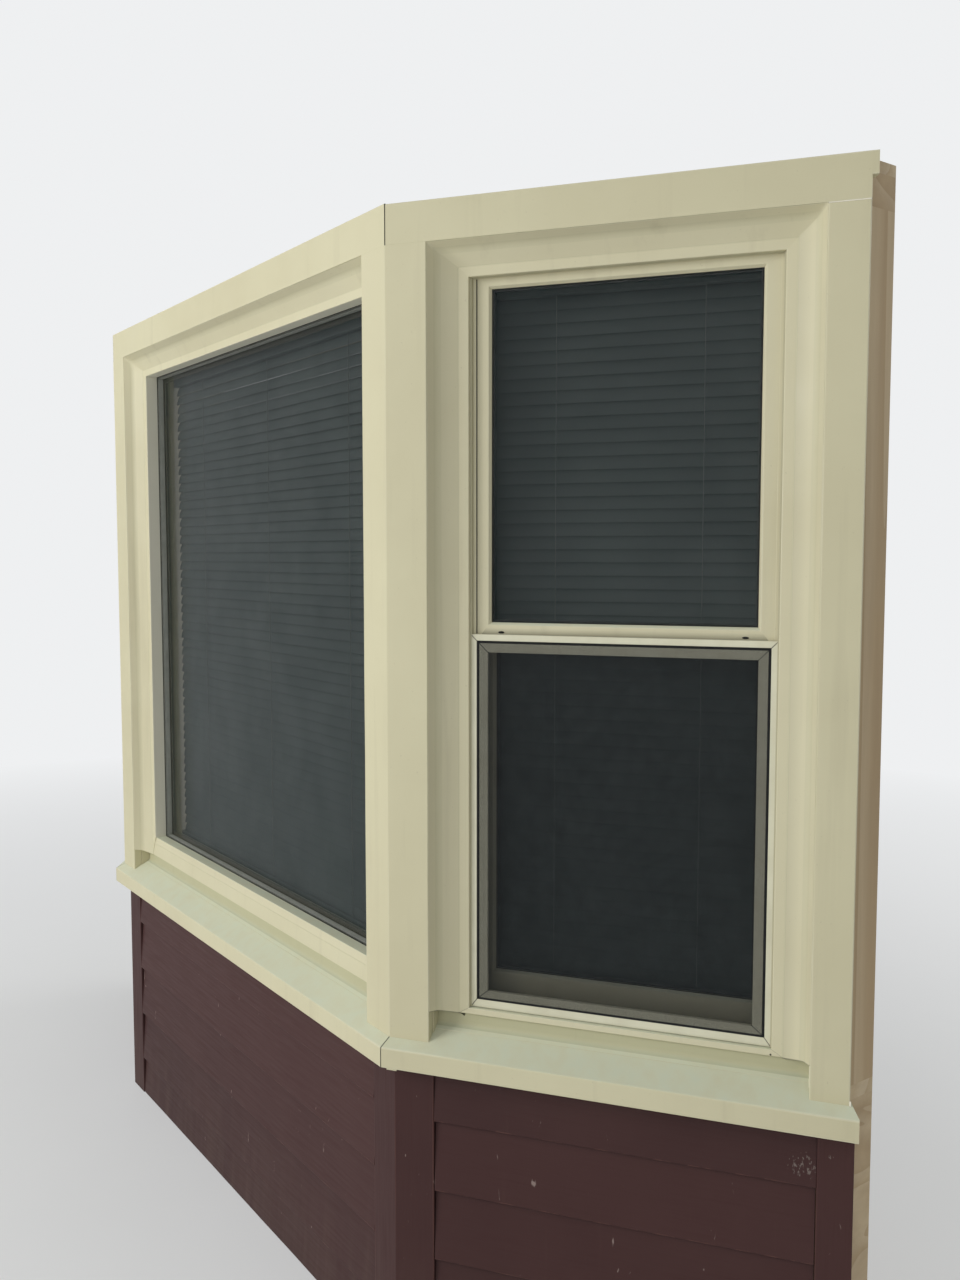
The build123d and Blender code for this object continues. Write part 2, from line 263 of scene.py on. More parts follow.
# Siding and its boards
board_front = 0.014
board_back = 0.030
board_dent = 0.0005
corner_board_width = 0.084
corner_board_radius = 0.002
end_board_width = 0.060
end_board_past = 0.009
end_board_radius = 0.0018
lap_exposure = 0.136
lap_first = 0.108
lap_front = 0.0135
lap_back = 0.022
lap_overlap = 0.014
lap_thick_height = 0.055
lap_thick_share = 0.9
lap_radii = (0.0018, 0.0006, 0.002, 0.0005, 0.0005)
lap_wave = 0.0012
lap_sag = 0.0007
lap_step = 0.05
least_gap_share = 0.3
front_board_gap = 0.0004
side_board_gap = 0.0016

# Tones of coated pieces: one half is clean, less is darker, from dirt in joints and from painted shade in
# hollows and recesses, and more, up to 1, is paler, as painted light
plain_tone = 0.5
foot_soil = 0.0010
# Painted shade in the outer jamb's hollow, toward the lip
band_shade_tone = 0.36
# Tracks of the ribbed frames: dirt and painted shade
track_dirt_and_shade_tone = 0.34
# Painted shade on the near dam, and painted light on the far dam and the riser corners
inner_dam_shade = 0.42
outer_dam_light = 0.9
riser_corner_light = 0.7
# Painted shade on the bead's face toward the pane
bead_front_shade = 0.05
# Darker towards the foot of the upper sash's bottom rail
upper_foot_tone = -0.25
# The lower sash, behind the screen: painted shade
lower_sash_shade = 0.17

# Tones of red boards, from 0 to 1, and two spots of pale splatter
corner_board_tone = 0.35
end_board_tone = 0.6
splatter = (1.3639, 0.1694, 0.5495)
splatter_size = 0.060
drip = (1.4019, 0.1960, 0.5719)
drip_size = 0.012

# Backdrop and camera
surroundings = (0.86, 0.87, 0.88, 1.0)
ambient_colour = (0.97, 0.99, 1.0, 1.0)
ambient_strength = 0.42
floor_colours = ((0.80, 0.80, 0.79, 1.0), (0.84, 0.84, 0.83, 1.0))
floor_radii = (0.001, 2.5, 6.0, 30.0)
floor_sides = 48
eye = (2.5568, -1.3588, 1.5769)
eye_azimuth = math.radians(54.30)
eye_pitch = math.radians(-4.20)
picture_height = 1280
focal_pixels = 1141
sensor_height = 36.0


# Places on the three faces
def front_face(along, depth, height):
    """Front face: along runs from the left corner to the right one, and depth goes into the bay."""
    return np.stack([along - front_width / 2, face_y + depth, height], axis=-1)


def right_face(along, depth, height):
    """Right face: along and depth are turned by the side angle about the right corner."""
    x = front_width / 2 + along * cos_side - depth * sin_side
    y = face_y + along * sin_side + depth * cos_side
    return np.stack([x, y, height], axis=-1)


def mirrored(place):
    """The same place on the other side of the bay: x changes its sign."""
    def flipped(along, depth, height):
        return place(along, depth, height) * np.array([-1.0, 1.0, 1.0])
    return flipped


# Each side has a name and its places on the front face and the side face
sides = (
    ("right", front_face, right_face),
    ("left", mirrored(front_face), mirrored(right_face)),
)


def slope_height(depth):
    """Height of the sill's top over its foot: a straight slope from the nose, then a level stretch."""
    return np.minimum(nose_height + slope * (depth + nose_out), sill_rise)


def back_end(along, depth):
    """An end at a distance along the right face, cut short where it would pass the bay's back plane."""
    limit = (back_y - face_y - depth * cos_side) / sin_side
    return np.minimum(along, limit)


# Surfaces
def rounded(corners, radius, steps=3):
    """A closed outline with round corners, and how it bends at each point.

    Each corner becomes an arc that is tangent to both edges. With opening angle q, the arc starts
    radius / tan(q / 2) from the corner, its centre lies radius / sin(q / 2) along the bisector, and its
    points are the spherical mean of the two radii. A point a little way along each edge keeps the flat
    stretches flat. The bend is 1 on an outward arc, -1 on an inward one and 0 on the flats.
    """
    rest = 0.0012
    share = 0.3
    p = np.array(corners, float)
    r = np.broadcast_to(np.array(radius, float), len(p))
    back = np.roll(p, 1, axis=0) - p
    ahead = np.roll(p, -1, axis=0) - p
    ahead_length = np.linalg.norm(ahead, axis=1)
    u = back / np.linalg.norm(back, axis=1)[:, None]
    v = ahead / ahead_length[:, None]
    opening = np.arccos(np.clip(np.sum(u * v, axis=1), -1, 1))
    setback = r / np.tan(opening / 2)
    bisector = (u + v) / np.linalg.norm(u + v, axis=1)[:, None]
    centre = p + bisector * (r / np.sin(opening / 2))[:, None]
    first = p + u * setback[:, None] - centre
    last = p + v * setback[:, None] - centre
    sweep = (math.pi - opening)[:, None, None]
    t = np.linspace(0, 1, steps + 1)[None, :, None]
    arc = (np.sin((1 - t) * sweep) * first[:, None] + np.sin(t * sweep) * last[:, None]) / np.sin(sweep)
    arc = arc + centre[:, None]
    free_ahead = np.maximum(ahead_length - setback - np.roll(setback, -1), 0)
    free_back = np.roll(free_ahead, 1)
    before = p + u * (setback + np.minimum(rest, free_back * share))[:, None]
    after = p + v * (setback + np.minimum(rest, free_ahead * share))[:, None]
    ring = np.concatenate([before[:, None], arc, after[:, None]], axis=1)
    area = np.sum(p[:, 0] * np.roll(p[:, 1], -1) - np.roll(p[:, 0], -1) * p[:, 1])
    turn = np.sign((-u[:, 0] * v[:, 1] + u[:, 1] * v[:, 0]) * area)
    bend = np.zeros((len(p), steps + 3))
    bend[:, 1:-1] = turn[:, None]
    return ring.reshape(-1, 2), bend.reshape(-1)


def box_outline(a0, a1, b0, b1, radius):
    """A rectangle with round corners."""
    return rounded([(a0, b0), (a1, b0), (a1, b1), (a0, b1)], radius)


def outline(points):
    """An outline whose corners stay as they are, with no bend."""
    ring = np.array(points, float)
    return ring, np.zeros(len(ring))


def swell(along, height, size, seed):
    """Gentle dents from 0 to size deep: the mean of five sine waves in seeded directions and lengths."""
    random = np.random.default_rng(seed)
    angle = random.uniform(0, 2 * math.pi, 5)
    number = 2 * math.pi / random.uniform(0.16, 0.75, 5)
    phase = random.uniform(0, 2 * math.pi, 5)
    wave = along[..., None] * np.cos(angle) * number + height[..., None] * np.sin(angle) * number + phase
    return size * (0.5 + 0.5 * np.sin(wave).mean(axis=-1))


def carry(
    profile,
    start,
    end,
    upright=False,
    step=0.06,
    dent=0.0,
    sag=0.0,
    seed=0,
    tone=plain_tone,
    joint=(0, 0),
    extra_rows=(),
):
    """A profile carried along a straight line, as a closed shell.

    Point k of the profile goes from start[k] to end[k]: run = start + t (end - start), with t from 0 to 1
    in equal steps, so a mitre or a sloped foot is a start or end that changes with k. An upright run goes
    up the face and its profile is (along, depth). A level run goes along the face and its profile is (depth,
    height). Dents push the shell inward, and sag moves a level run up, both by the swell formula. The
    tone is one number or one for each point of the profile, and falls to 0 at an end that meets its
    neighbour in a soiled joint. Extra rows lie at the given distances from both ends.
    """
    ring, bend = profile
    low = start + 0 * ring[:, 0]
    high = end + 0 * ring[:, 0]
    length = np.max(high - low)
    rows = 1 + max(1, int(np.ceil(length / step)))
    soiled = np.array(joint, float) / length
    extra = np.array(extra_rows) / length
    t = np.concatenate([np.linspace(0, 1, rows), [soiled[0], 1 - soiled[1]], extra, 1 - extra])
    t = np.unique(t)[:, None]
    run = low + (high - low) * t
    at_joint = ((t == 0) & (joint[0] > 0)) | ((t == 1) & (joint[1] > 0))
    first = np.broadcast_to(ring[:, 0], run.shape)
    second = np.broadcast_to(ring[:, 1], run.shape)
    grid = np.stack([first, second, run] if upright else [run, first, second], axis=-1)
    along = grid[..., 0].copy()
    height = grid[..., 2].copy()
    if dent:
        grid[..., 1] += swell(along, height, dent, seed)
    if sag:
        grid[..., 2] += swell(along, height * 0, sag, seed + 1)
    edge = np.linalg.norm(np.roll(ring, -1, axis=0) - ring, axis=1)
    return {
        "grid": grid,
        "bend": bend,
        "run": np.concatenate([run, run[:, :1]], axis=1),
        "round": np.concatenate([[0], np.cumsum(edge)]),
        "caps": ring,
        "tone": np.where(at_joint, 0.0, tone + 0 * run),
    }


def mitred_ring(
    profile,
    left,
    right,
    low,
    high,
    knots=(0, 1),
    bottoms=(0, 1),
    tops=(0, 1),
    seam=weld_seam,
    **kind,
):
    """Four bars round a rectangle, mitred at its corners.

    The profile is (inset, depth). Beside the opening the inset is as given. Under and over it the inset is
    changed by a piecewise straight function from knots to bottoms or tops. Each point of a bar runs from
    the inset of one neighbour to the inset of the other, less half a seam.
    """
    ring, bend = profile
    inset, depth = ring.T
    floor = low + np.interp(inset, knots, bottoms)
    roof = high - np.interp(inset, knots, tops)
    start = left + inset
    end = right - inset
    gap = seam / 2
    stiles = [
        carry((np.stack([along, depth], axis=1), bend), floor + gap, roof - gap, upright=True, **kind)
        for along in (start, end)
    ]
    rails = [
        carry((np.stack([depth, height], axis=1), bend), start + gap, end - gap, **kind)
        for height in (floor, roof)
    ]
    return stiles + rails


def closed_grid(rows, columns):
    """Row and column of each face's first corner, and the faces of a grid that closes round.

    Face (i, j) joins the corners (i, j), (i, j + 1), (i + 1, j + 1) and (i + 1, j), with the last column
    joined to the first.
    """
    i, j = np.meshgrid(np.arange(rows - 1), np.arange(columns), indexing="ij")
    k = (j + 1) % columns
    corners = [i * columns + j, i * columns + k, (i + 1) * columns + k, (i + 1) * columns + j]
    return i, j, np.stack(corners, axis=-1).reshape(-1, 4)


def skin(shell, place, count):
    """Corners, faces, texture places and bends of one shell, set on a face of the bay.

    Both ends are closed by one face, and the faces' numbers start at the count. The signed volume, a sixth
    of the sum of the corners' triple products, tells whether the faces point outward.
    """
    grid = place(*np.moveaxis(shell["grid"], -1, 0))
    rows, columns = grid.shape[:2]
    corners = grid.reshape(-1, 3)
    i, j, quads = closed_grid(rows, columns)
    run = shell["run"]
    around = np.broadcast_to(shell["round"], run.shape)
    quad_places = np.stack([
        np.stack([values[i, j], values[i, j + 1], values[i + 1, j + 1], values[i + 1, j]], axis=-1)
        for values in (run, around)
    ], axis=-1).reshape(-1, 4, 2)
    low_cap = np.arange(columns)[::-1]
    high_cap = np.arange(columns) + (rows - 1) * columns
    middle = corners.mean(axis=0)
    a, b, c, d = (corners[quads[:, n]] - middle for n in range(4))
    volume = np.sum(np.cross(a, b) * c) + np.sum(np.cross(a, c) * d)
    for cap in (low_cap, high_cap):
        p = corners[cap] - middle
        volume += np.sum(np.cross(p[1:-1], p[2:]) * p[0])
    turn = 1 if volume > 0 else -1
    faces = (quads[:, ::turn] + count).tolist()
    faces += [(cap[::turn] + count).tolist() for cap in (low_cap, high_cap)]
    caps = shell["caps"]
    places = [quad_places[:, ::turn].reshape(-1, 2), caps[low_cap][::turn], caps[::turn]]
    bend = np.broadcast_to(shell["bend"], (rows, columns)).reshape(-1)
    return corners, faces, np.concatenate(places), bend


def new_object(name, data):
    """An object at the origin, in the scene."""
    item = bpy.data.objects.new(name, data)
    bpy.context.scene.collection.objects.link(item)
    return item


def make_piece(name, place, shells, material, nodes=()):
    """Joins shells, set on one face of the bay, into one object that rides on the bay."""
    smooth_angle = math.radians(40)
    corners, faces, places, bends, tones = [], [], [], [], []
    count = 0
    for shell in shells:
        skin_corners, skin_faces, skin_places, skin_bend = skin(shell, place, count)
        corners.append(skin_corners)
        faces += skin_faces
        places.append(skin_places)
        bends.append(skin_bend)
        tones.append(shell["tone"].reshape(-1))
        count += len(skin_corners)
    mesh = bpy.data.meshes.new(name)
    mesh.from_pydata(np.concatenate(corners), [], faces)
    layer = mesh.uv_layers.new(name="metres")
    layer.data.foreach_set("uv", np.concatenate(places).astype(np.float32).ravel())
    for label, values in (("bend", bends), ("tone", tones)):
        attribute = mesh.attributes.new(label, "FLOAT", "POINT")
        attribute.data.foreach_set("value", np.concatenate(values).astype(np.float32))
    mesh.polygons.foreach_set("use_smooth", np.ones(len(mesh.polygons), bool))
    mesh.set_sharp_from_angle(angle=smooth_angle)
    mesh.materials.append(material)
    mesh.update()
    piece = new_object(name, mesh)
    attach(piece, "root")
    if nodes:
        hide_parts(*nodes)


# Materials
def paint(red, green, blue):
    """A colour as it looks on a screen, from 0 to 255, turned into light."""
    value = np.array([red, green, blue]) / 255
    light = np.where(value <= 0.04045, value / 12.92, ((value + 0.055) / 1.055) ** 2.4)
    return (*light.tolist(), 1.0)


def fill(tree, socket, value):
    """Links an output to a socket, or sets its value."""
    if isinstance(value, bpy.types.NodeSocket):
        tree.links.new(value, socket)
    else:
        socket.default_value = value


def add(tree, kind, sockets=None, **settings):
    """Adds a node, sets its options and fills its sockets."""
    node = tree.nodes.new("ShaderNode" + kind)
    for key, value in settings.items():
        setattr(node, key, value)
    for key, value in (sockets or {}).items():
        fill(tree, node.inputs[key], value)
    return node


def new_material(name, **sockets):
    """A material with one surface shader, and the constants of that shader."""
    material = bpy.data.materials.new(name)
    material.use_nodes = True
    tree = material.node_tree
    shader = tree.nodes["Principled BSDF"]
    for key, value in sockets.items():
        shader.inputs[key].default_value = value
    return material, tree, shader


def mix(tree, factor, first, second):
    """Mixes two colours."""
    node = add(tree, "Mix", data_type="RGBA")
    fill(tree, node.inputs[0], factor)
    fill(tree, node.inputs[6], first)
    fill(tree, node.inputs[7], second)
    return node.outputs[2]


def coats(tree, tone, layers):
    """Lays colours over a tone in turn, each given as its amount and the colour."""
    for amount, colour in layers:
        tone = mix(tree, amount, tone, colour)
    return tone


def math_node(tree, operation, first, second=0.0):
    """One sum on two values."""
    return add(tree, "Math", {0: first, 1: second}, operation=operation).outputs[0]


def times(tree, first, second):
    """The product of two values."""
    return math_node(tree, "MULTIPLY", first, second)


def spread(tree, value, low, high, to_low=0.0, to_high=1.0):
    """Maps a value between two limits to another pair of limits, and holds it there."""
    node = add(tree, "MapRange", {
        "Value": value,
        "From Min": low,
        "From Max": high,
        "To Min": to_low,
        "To Max": to_high,
    })
    return node.outputs["Result"]


def object_place(tree, stretch=(1, 1, 1), turn=0.0):
    """The place in the bay's own frame, turned and then stretched for a pattern."""
    place = add(tree, "TexCoord").outputs["Object"]
    turned = add(tree, "Mapping", {"Vector": place, "Rotation": (0, 0, turn)}).outputs["Vector"]
    return add(tree, "Mapping", {"Vector": turned, "Scale": stretch}).outputs["Vector"]


def surface_place(tree, stretch=(1, 1, 1)):
    """The place on the piece's own surface: metres along its run and metres round it."""
    place = add(tree, "UVMap", uv_map="metres").outputs["UV"]
    return add(tree, "Mapping", {"Vector": place, "Scale": stretch}).outputs["Vector"]


def noise(tree, vector, scale, detail=3.0, roughness=0.55, distortion=0.0):
    """Fractal noise around one half."""
    node = add(tree, "TexNoise", {
        "Vector": vector,
        "Scale": scale,
        "Detail": detail,
        "Roughness": roughness,
        "Distortion": distortion,
    })
    return node.outputs["Fac"]


def faint_runs(tree, across, up):
    """Runs of old rain: noise that is drawn out in height."""
    return noise(tree, object_place(tree, (across, across, up)), 1.0, 4.0, 0.6)


def value_of(tree, label):
    """A value that the piece's own corners carry."""
    return add(tree, "Attribute", attribute_name=label).outputs["Fac"]


def up_part(tree, vector):
    """The vertical part of a vector."""
    return add(tree, "SeparateXYZ", {"Vector": vector}).outputs["Z"]


def upward(tree):
    """How far the surface faces up, from -1 to 1."""
    return up_part(tree, add(tree, "NewGeometry").outputs["Normal"])


def height_of(tree):
    """Height over the bay's foot."""
    return up_part(tree, add(tree, "TexCoord").outputs["Object"])


def crevice_shade(tree, distance):
    """Nearly 1 where the surface lies in a fold or beside its neighbour, and 0 in the open: the mask of
    painted shade in creases.
    """
    node = add(tree, "AmbientOcclusion", {"Distance": distance}, samples=6)
    return spread(tree, node.outputs["AO"], 0.85, 0.25)


def soil_and_shade(tree):
    """Darkens where a piece's tone falls from one half to 0: old dirt in joints, and painted shade in
    grooves, hollows and recessed parts.
    """
    return spread(tree, value_of(tree, "tone"), 0.45, 0.0, 0.0, 0.85)


def worn_edges(tree, pattern, low, high):
    """Outward folds, rubbed where a pattern rises between two limits."""
    return times(tree, spread(tree, value_of(tree, "bend"), 0.2, 1.0), spread(tree, pattern, low, high))


def dress(tree, shader, colour, roughness, layers):
    """Gives the shader its colour and roughness, and stacks bump layers on its normal.

    Each layer is a height and its depth in metres.
    """
    tree.links.new(colour, shader.inputs["Base Color"])
    tree.links.new(roughness, shader.inputs["Roughness"])
    normal = None
    for height, depth in layers:
        sockets = {"Height": height, "Distance": depth, "Strength": 1.0}
        if normal is not None:
            sockets["Normal"] = normal
        normal = add(tree, "Bump", sockets).outputs["Normal"]
    tree.links.new(normal, shader.inputs["Normal"])


def coated_sheet(name, pale, deep, grime_and_shade, roughness, damp_and_cove_shade):
    """Coated sheet or plastic that has stood outside: cloudy tone, faint runs, dust on top that also paints
    light there, painted shade in the folds and dirt in soiled joints.

    The hollows have a green tone, painted shade with some damp. Where the piece's tone nears 1 the face is
    painted paler, as painted light.
    """
    material, tree, shader = new_material(name, IOR=1.38)
    place = object_place(tree)
    cloud = noise(tree, place, 2.3, 4.0)
    fleck = noise(tree, place, 190.0, 2.0)
    runs = faint_runs(tree, 26, 1.3)
    # Dust on upward faces, in a pale green that also paints the light from above
    dust = times(tree, spread(tree, upward(tree), 0.35, 0.9), spread(tree, runs, 0.3, 0.7, 0.35, 0.7))
    colour = coats(tree, paint(*pale), [
        (spread(tree, cloud, 0.35, 0.68), paint(*deep)),
        (spread(tree, runs, 0.56, 0.80, 0.0, 0.22), paint(*grime_and_shade)),
        (spread(tree, fleck, 0.70, 0.80, 0.0, 0.30), paint(*grime_and_shade)),
        # Painted shade in creases, in the grime colour
        (times(tree, crevice_shade(tree, 0.010), spread(tree, cloud, 0.3, 0.7, 0.10, 0.45)), paint(*grime_and_shade)),
        (dust, paint(214, 223, 202)),
        (times(tree, worn_edges(tree, cloud, 0.42, 0.6), 0.25), paint(236, 232, 210)),
        # Painted shade in inward coves, in a green damp tone
        (spread(tree, value_of(tree, "bend"), 0.0, -1.0, 0.0, damp_and_cove_shade), paint(150, 154, 118)),
        (soil_and_shade(tree), paint(56, 60, 54)),
        # Painted light: faces whose tone nears 1 turn paler
        (spread(tree, value_of(tree, "tone"), 0.55, 1.0, 0.0, 0.75), paint(242, 239, 224)),
    ])
    gloss = spread(tree, noise(tree, place, 11.0, 3.0), 0.3, 0.7, roughness - 0.07, roughness + 0.09)
    dress(tree, shader, colour, gloss, [
        (noise(tree, place, 4.0, 1.0), 0.0030),
        (noise(tree, place, 620.0, 1.0), 0.00004),
    ])
    return material


def barn_paint(name):
    """Old red paint on sawn wood: board tones, grain through the paint, fading, mud splash, pale scuffs and
    painted shade in creases.

    Two spots of pale splatter thin out from their middles.
    """
    material, tree, shader = new_material(name, IOR=1.32)
    place = object_place(tree)
    grain = noise(tree, surface_place(tree, (7, 170, 1)), 1.0, 6.0, 0.62, 0.6)
    rings = noise(tree, surface_place(tree, (1.6, 34, 1)), 1.0, 3.0, 0.5, 1.2)
    cloud = noise(tree, place, 3.1, 4.0)
    runs = faint_runs(tree, 34, 1.7)
    scuff = noise(tree, object_place(tree, (60, 60, 22)), 1.0, 2.0, 0.5, 1.5)
    speckle = noise(tree, object_place(tree, (260, 260, 120)), 1.0, 2.0)
    splash = times(tree, spread(tree, height_of(tree), 0.26, 0.0), spread(tree, runs, 0.35, 0.7))
    layers = [
        (value_of(tree, "tone"), paint(69, 42, 40)),
        (spread(tree, cloud, 0.4, 0.75, 0.0, 0.4), paint(76, 50, 47)),
        (spread(tree, grain, 0.46, 0.30, 0.0, 0.06), paint(46, 27, 26)),
        (spread(tree, runs, 0.62, 0.8, 0.0, 0.18), paint(96, 70, 65)),
        (spread(tree, scuff, 0.745, 0.79, 0.0, 0.6), paint(166, 148, 140)),
    ]
    for spot, reach in ((splatter, splatter_size), (drip, drip_size)):
        away = add(tree, "VectorMath", {0: place, 1: spot}, operation="DISTANCE").outputs["Value"]
        patch = times(tree, spread(tree, away, reach, reach * 0.3), speckle)
        layers.append((spread(tree, patch, 0.56, 0.64, 0.0, 0.36), paint(166, 156, 148)))
    layers += [
        (times(tree, splash, 0.4), paint(88, 72, 63)),
        # Painted shade in creases
        (times(tree, crevice_shade(tree, 0.020), 0.55), paint(40, 27, 27)),
        (times(tree, worn_edges(tree, runs, 0.45, 0.62), 0.35), paint(122, 84, 75)),
    ]
    colour = coats(tree, paint(60, 36, 35), layers)
    gloss = spread(tree, grain, 0.3, 0.7, 0.68, 0.5)
    dress(tree, shader, colour, gloss, [(rings, 0.00012), (grain, 0.00005)])
    return material


def bare_wood(name, stretch, turn, pale, deep):
    """Planed softwood or plywood: grain along one direction, growth rings, knots, a dull finish and painted
    shade in creases.
    """
    material, tree, shader = new_material(name, IOR=1.45)
    fine = tuple(value * 16 for value in stretch)
    broad = tuple(value * 2.2 for value in stretch)
    fibre = noise(tree, object_place(tree, fine, turn), 1.0, 6.0, 0.65, 0.4)
    rings = noise(tree, object_place(tree, broad, turn), 1.0, 2.0, 0.5, 2.4)
    bands = math_node(tree, "FRACT", times(tree, rings, 9.0))
    cloud = noise(tree, object_place(tree), 2.0, 3.0)
    colour = coats(tree, paint(*pale), [
        (spread(tree, bands, 0.1, 0.95), paint(*deep)),
        (spread(tree, fibre, 0.35, 0.62, 0.0, 0.40), paint(154, 128, 96)),
        (spread(tree, cloud, 0.45, 0.7, 0.0, 0.3), paint(178, 160, 132)),
        # Painted shade in creases
        (times(tree, crevice_shade(tree, 0.02), 0.4), paint(96, 74, 54)),
    ])
    gloss = spread(tree, fibre, 0.3, 0.7, 0.72, 0.55)
    dress(tree, shader, colour, gloss, [(bands, 0.0003), (fibre, 0.0004)])
    return material


def pane_glass(name):
    """Tinted double pane: two thirds of the light passes each face, with dust and a slight ripple."""
    material, tree, shader = new_material(name, IOR=1.28)
    place = object_place(tree)
    dust = noise(tree, place, 5.0, 2.0, 0.5)
    runs = faint_runs(tree, 30, 1.5)
    dusty = times(tree, spread(tree, dust, 0.45, 0.8), spread(tree, runs, 0.4, 0.7))
    colour = mix(tree, dusty, paint(16, 29, 31), paint(46, 58, 55))
    tree.links.new(spread(tree, dusty, 0.0, 1.0, 0.36, 0.42), shader.inputs["Alpha"])
    gloss = spread(tree, dusty, 0.0, 1.0, 0.02, 0.09)
    dress(tree, shader, colour, gloss, [(noise(tree, place, 3.0, 1.0), 0.0012)])
    return material


def small_finish(name, pale, deep, scale, roughness, grain_depth, metallic=0.0):
    """A small part's finish: two tones in fine clouds, uneven gloss, painted shade in the folds, dirt in
    soiled joints and a fine grain.
    """
    material, tree, shader = new_material(name, Metallic=metallic, IOR=1.36)
    place = object_place(tree)
    cloud = noise(tree, place, scale, 4.0)
    colour = coats(tree, paint(*pale), [
        (spread(tree, cloud, 0.35, 0.68), paint(*deep)),
        # Painted shade in the folds
        (times(tree, crevice_shade(tree, 0.006), 0.5), paint(60, 56, 48)),
        (soil_and_shade(tree), paint(34, 32, 26)),
    ])
    gloss = spread(tree, cloud, 0.3, 0.7, roughness - 0.06, roughness + 0.1)
    dress(tree, shader, colour, gloss, [(noise(tree, place, scale * 14, 2.0), grain_depth)])
    return material


# The last number is the strength of the green cove tone, painted shade with some damp
trim_sheet = coated_sheet("trim_sheet", (212, 206, 173), (205, 198, 165), (164, 155, 128), 0.56, 0.4)
frame_plastic = coated_sheet("frame_plastic", (214, 208, 177), (207, 200, 168), (160, 151, 125), 0.52, 0.1)
lap_paint = barn_paint("lap_paint")
glass = pane_glass("pane_glass")
screen_enamel = small_finish("screen_enamel", (224, 221, 196), (214, 210, 184), 14, 0.38, 0.00003)
screen_thread = small_finish("screen_thread", (44, 48, 50), (34, 38, 40), 40, 0.6, 0.00002)
spline_rubber = small_finish("spline_rubber", (11, 12, 12), (19, 20, 19), 60, 0.7, 0.00008)
spacer_metal = small_finish("spacer_metal", (58, 64, 63), (44, 50, 49), 30, 0.5, 0.00002, 0.2)
# Slats in a darker grey-green: painted shade behind the glass
slat_enamel_shaded = small_finish("slat_enamel_shaded", (116, 126, 123), (102, 113, 110), 9, 0.45, 0.00004)
# A pale copy of the spacer's finish: painted light on the picture window's spacer
spacer_painted_light = small_finish("spacer_painted_light", (224, 225, 216), (206, 208, 198), 30, 0.5, 0.00002)
caulk = small_finish("caulk", (247, 242, 226), (240, 234, 214), 60, 0.5, 0.00003)
cord_fibre = small_finish("cord_fibre", (156, 160, 154), (138, 142, 136), 300, 0.8, 0.0001)


# Head trim
def head_trims():
    """Square bars along the top, mitred at the corners.

    The side trims lie a little lower, and their outer ends run past the casing in a full or a short ear.
    """
    radii = [crisp_radius, crisp_radius, fold_radius, fold_radius]
    bar = box_outline(0, casing_thickness, head_z, top_z, radii)
    start = bar[0][:, 0] * mitre + head_seam / 2
    ends = (soiled_end, soiled_end)
    run = carry(bar, start, front_width - start, dent=trim_dent, seed=11, joint=ends)
    make_piece("head_trim_front_sheet", front_face, [run], trim_sheet, ["head_trim_front"])
    side_top = top_z - side_trim_drop
    side_bar = box_outline(0, casing_thickness, head_z, side_top, radii)
    start = side_bar[0][:, 0] * mitre + head_seam / 2
    for name, _, beside in sides:
        node = "head_trim_" + name
        full = name == "left"
        ear_low = head_z if full else top_z - short_ear_height
        joint = (0, 0) if full else (soiled_end, 0)
        ear = box_outline(ear_setback, casing_thickness, ear_low, side_top, fold_radius)
        ear_end = back_end(side_width + head_ear, ear[0][:, 0])
        parts = [
            carry(side_bar, start, side_width, dent=trim_dent, seed=12, joint=joint),
            carry(ear, np.minimum(side_width - ear_overlap, ear_end), ear_end),
        ]
        make_piece(node + "_sheet", beside, parts, trim_sheet, [node])


# Sill
def riser_parts(wedge, start, end):
    """The wedge between two casings, with a dam and a corner piece at each of its ends.

    The dams stand upright, the near one a little darker as painted shade and the far one paler as painted
    light, and the corner pieces, also paler as painted light, fill the riser up to the frame's rising feet.
    Their tops are straight lines that rise from the lip's foot to the dams.
    """
    foot = sill_z + frame_foot
    rise = riser_end_rise / lip_inset
    parts = [carry(wedge, start, end)]
    for edge, sign, dam_painted_tone in ((start, 1, inner_dam_shade), (end, -1, outer_dam_light)):
        rows = (
            (dam_thickness, casing_thickness, sill_z + seat_top - dam_root, dam_painted_tone),
            (lip_inset, riser_depth, foot - riser_corner_root, riser_corner_light),
        )
        for width, front, low, tone in rows:
            block = box_outline(edge, edge + sign * width, front, slope_end, riser_radius)
            high = foot + riser_end_rise - rise * np.abs(block[0][:, 0] - edge) - riser_gap
            parts.append(carry(block, low, high, upright=True, tone=tone))
    return parts


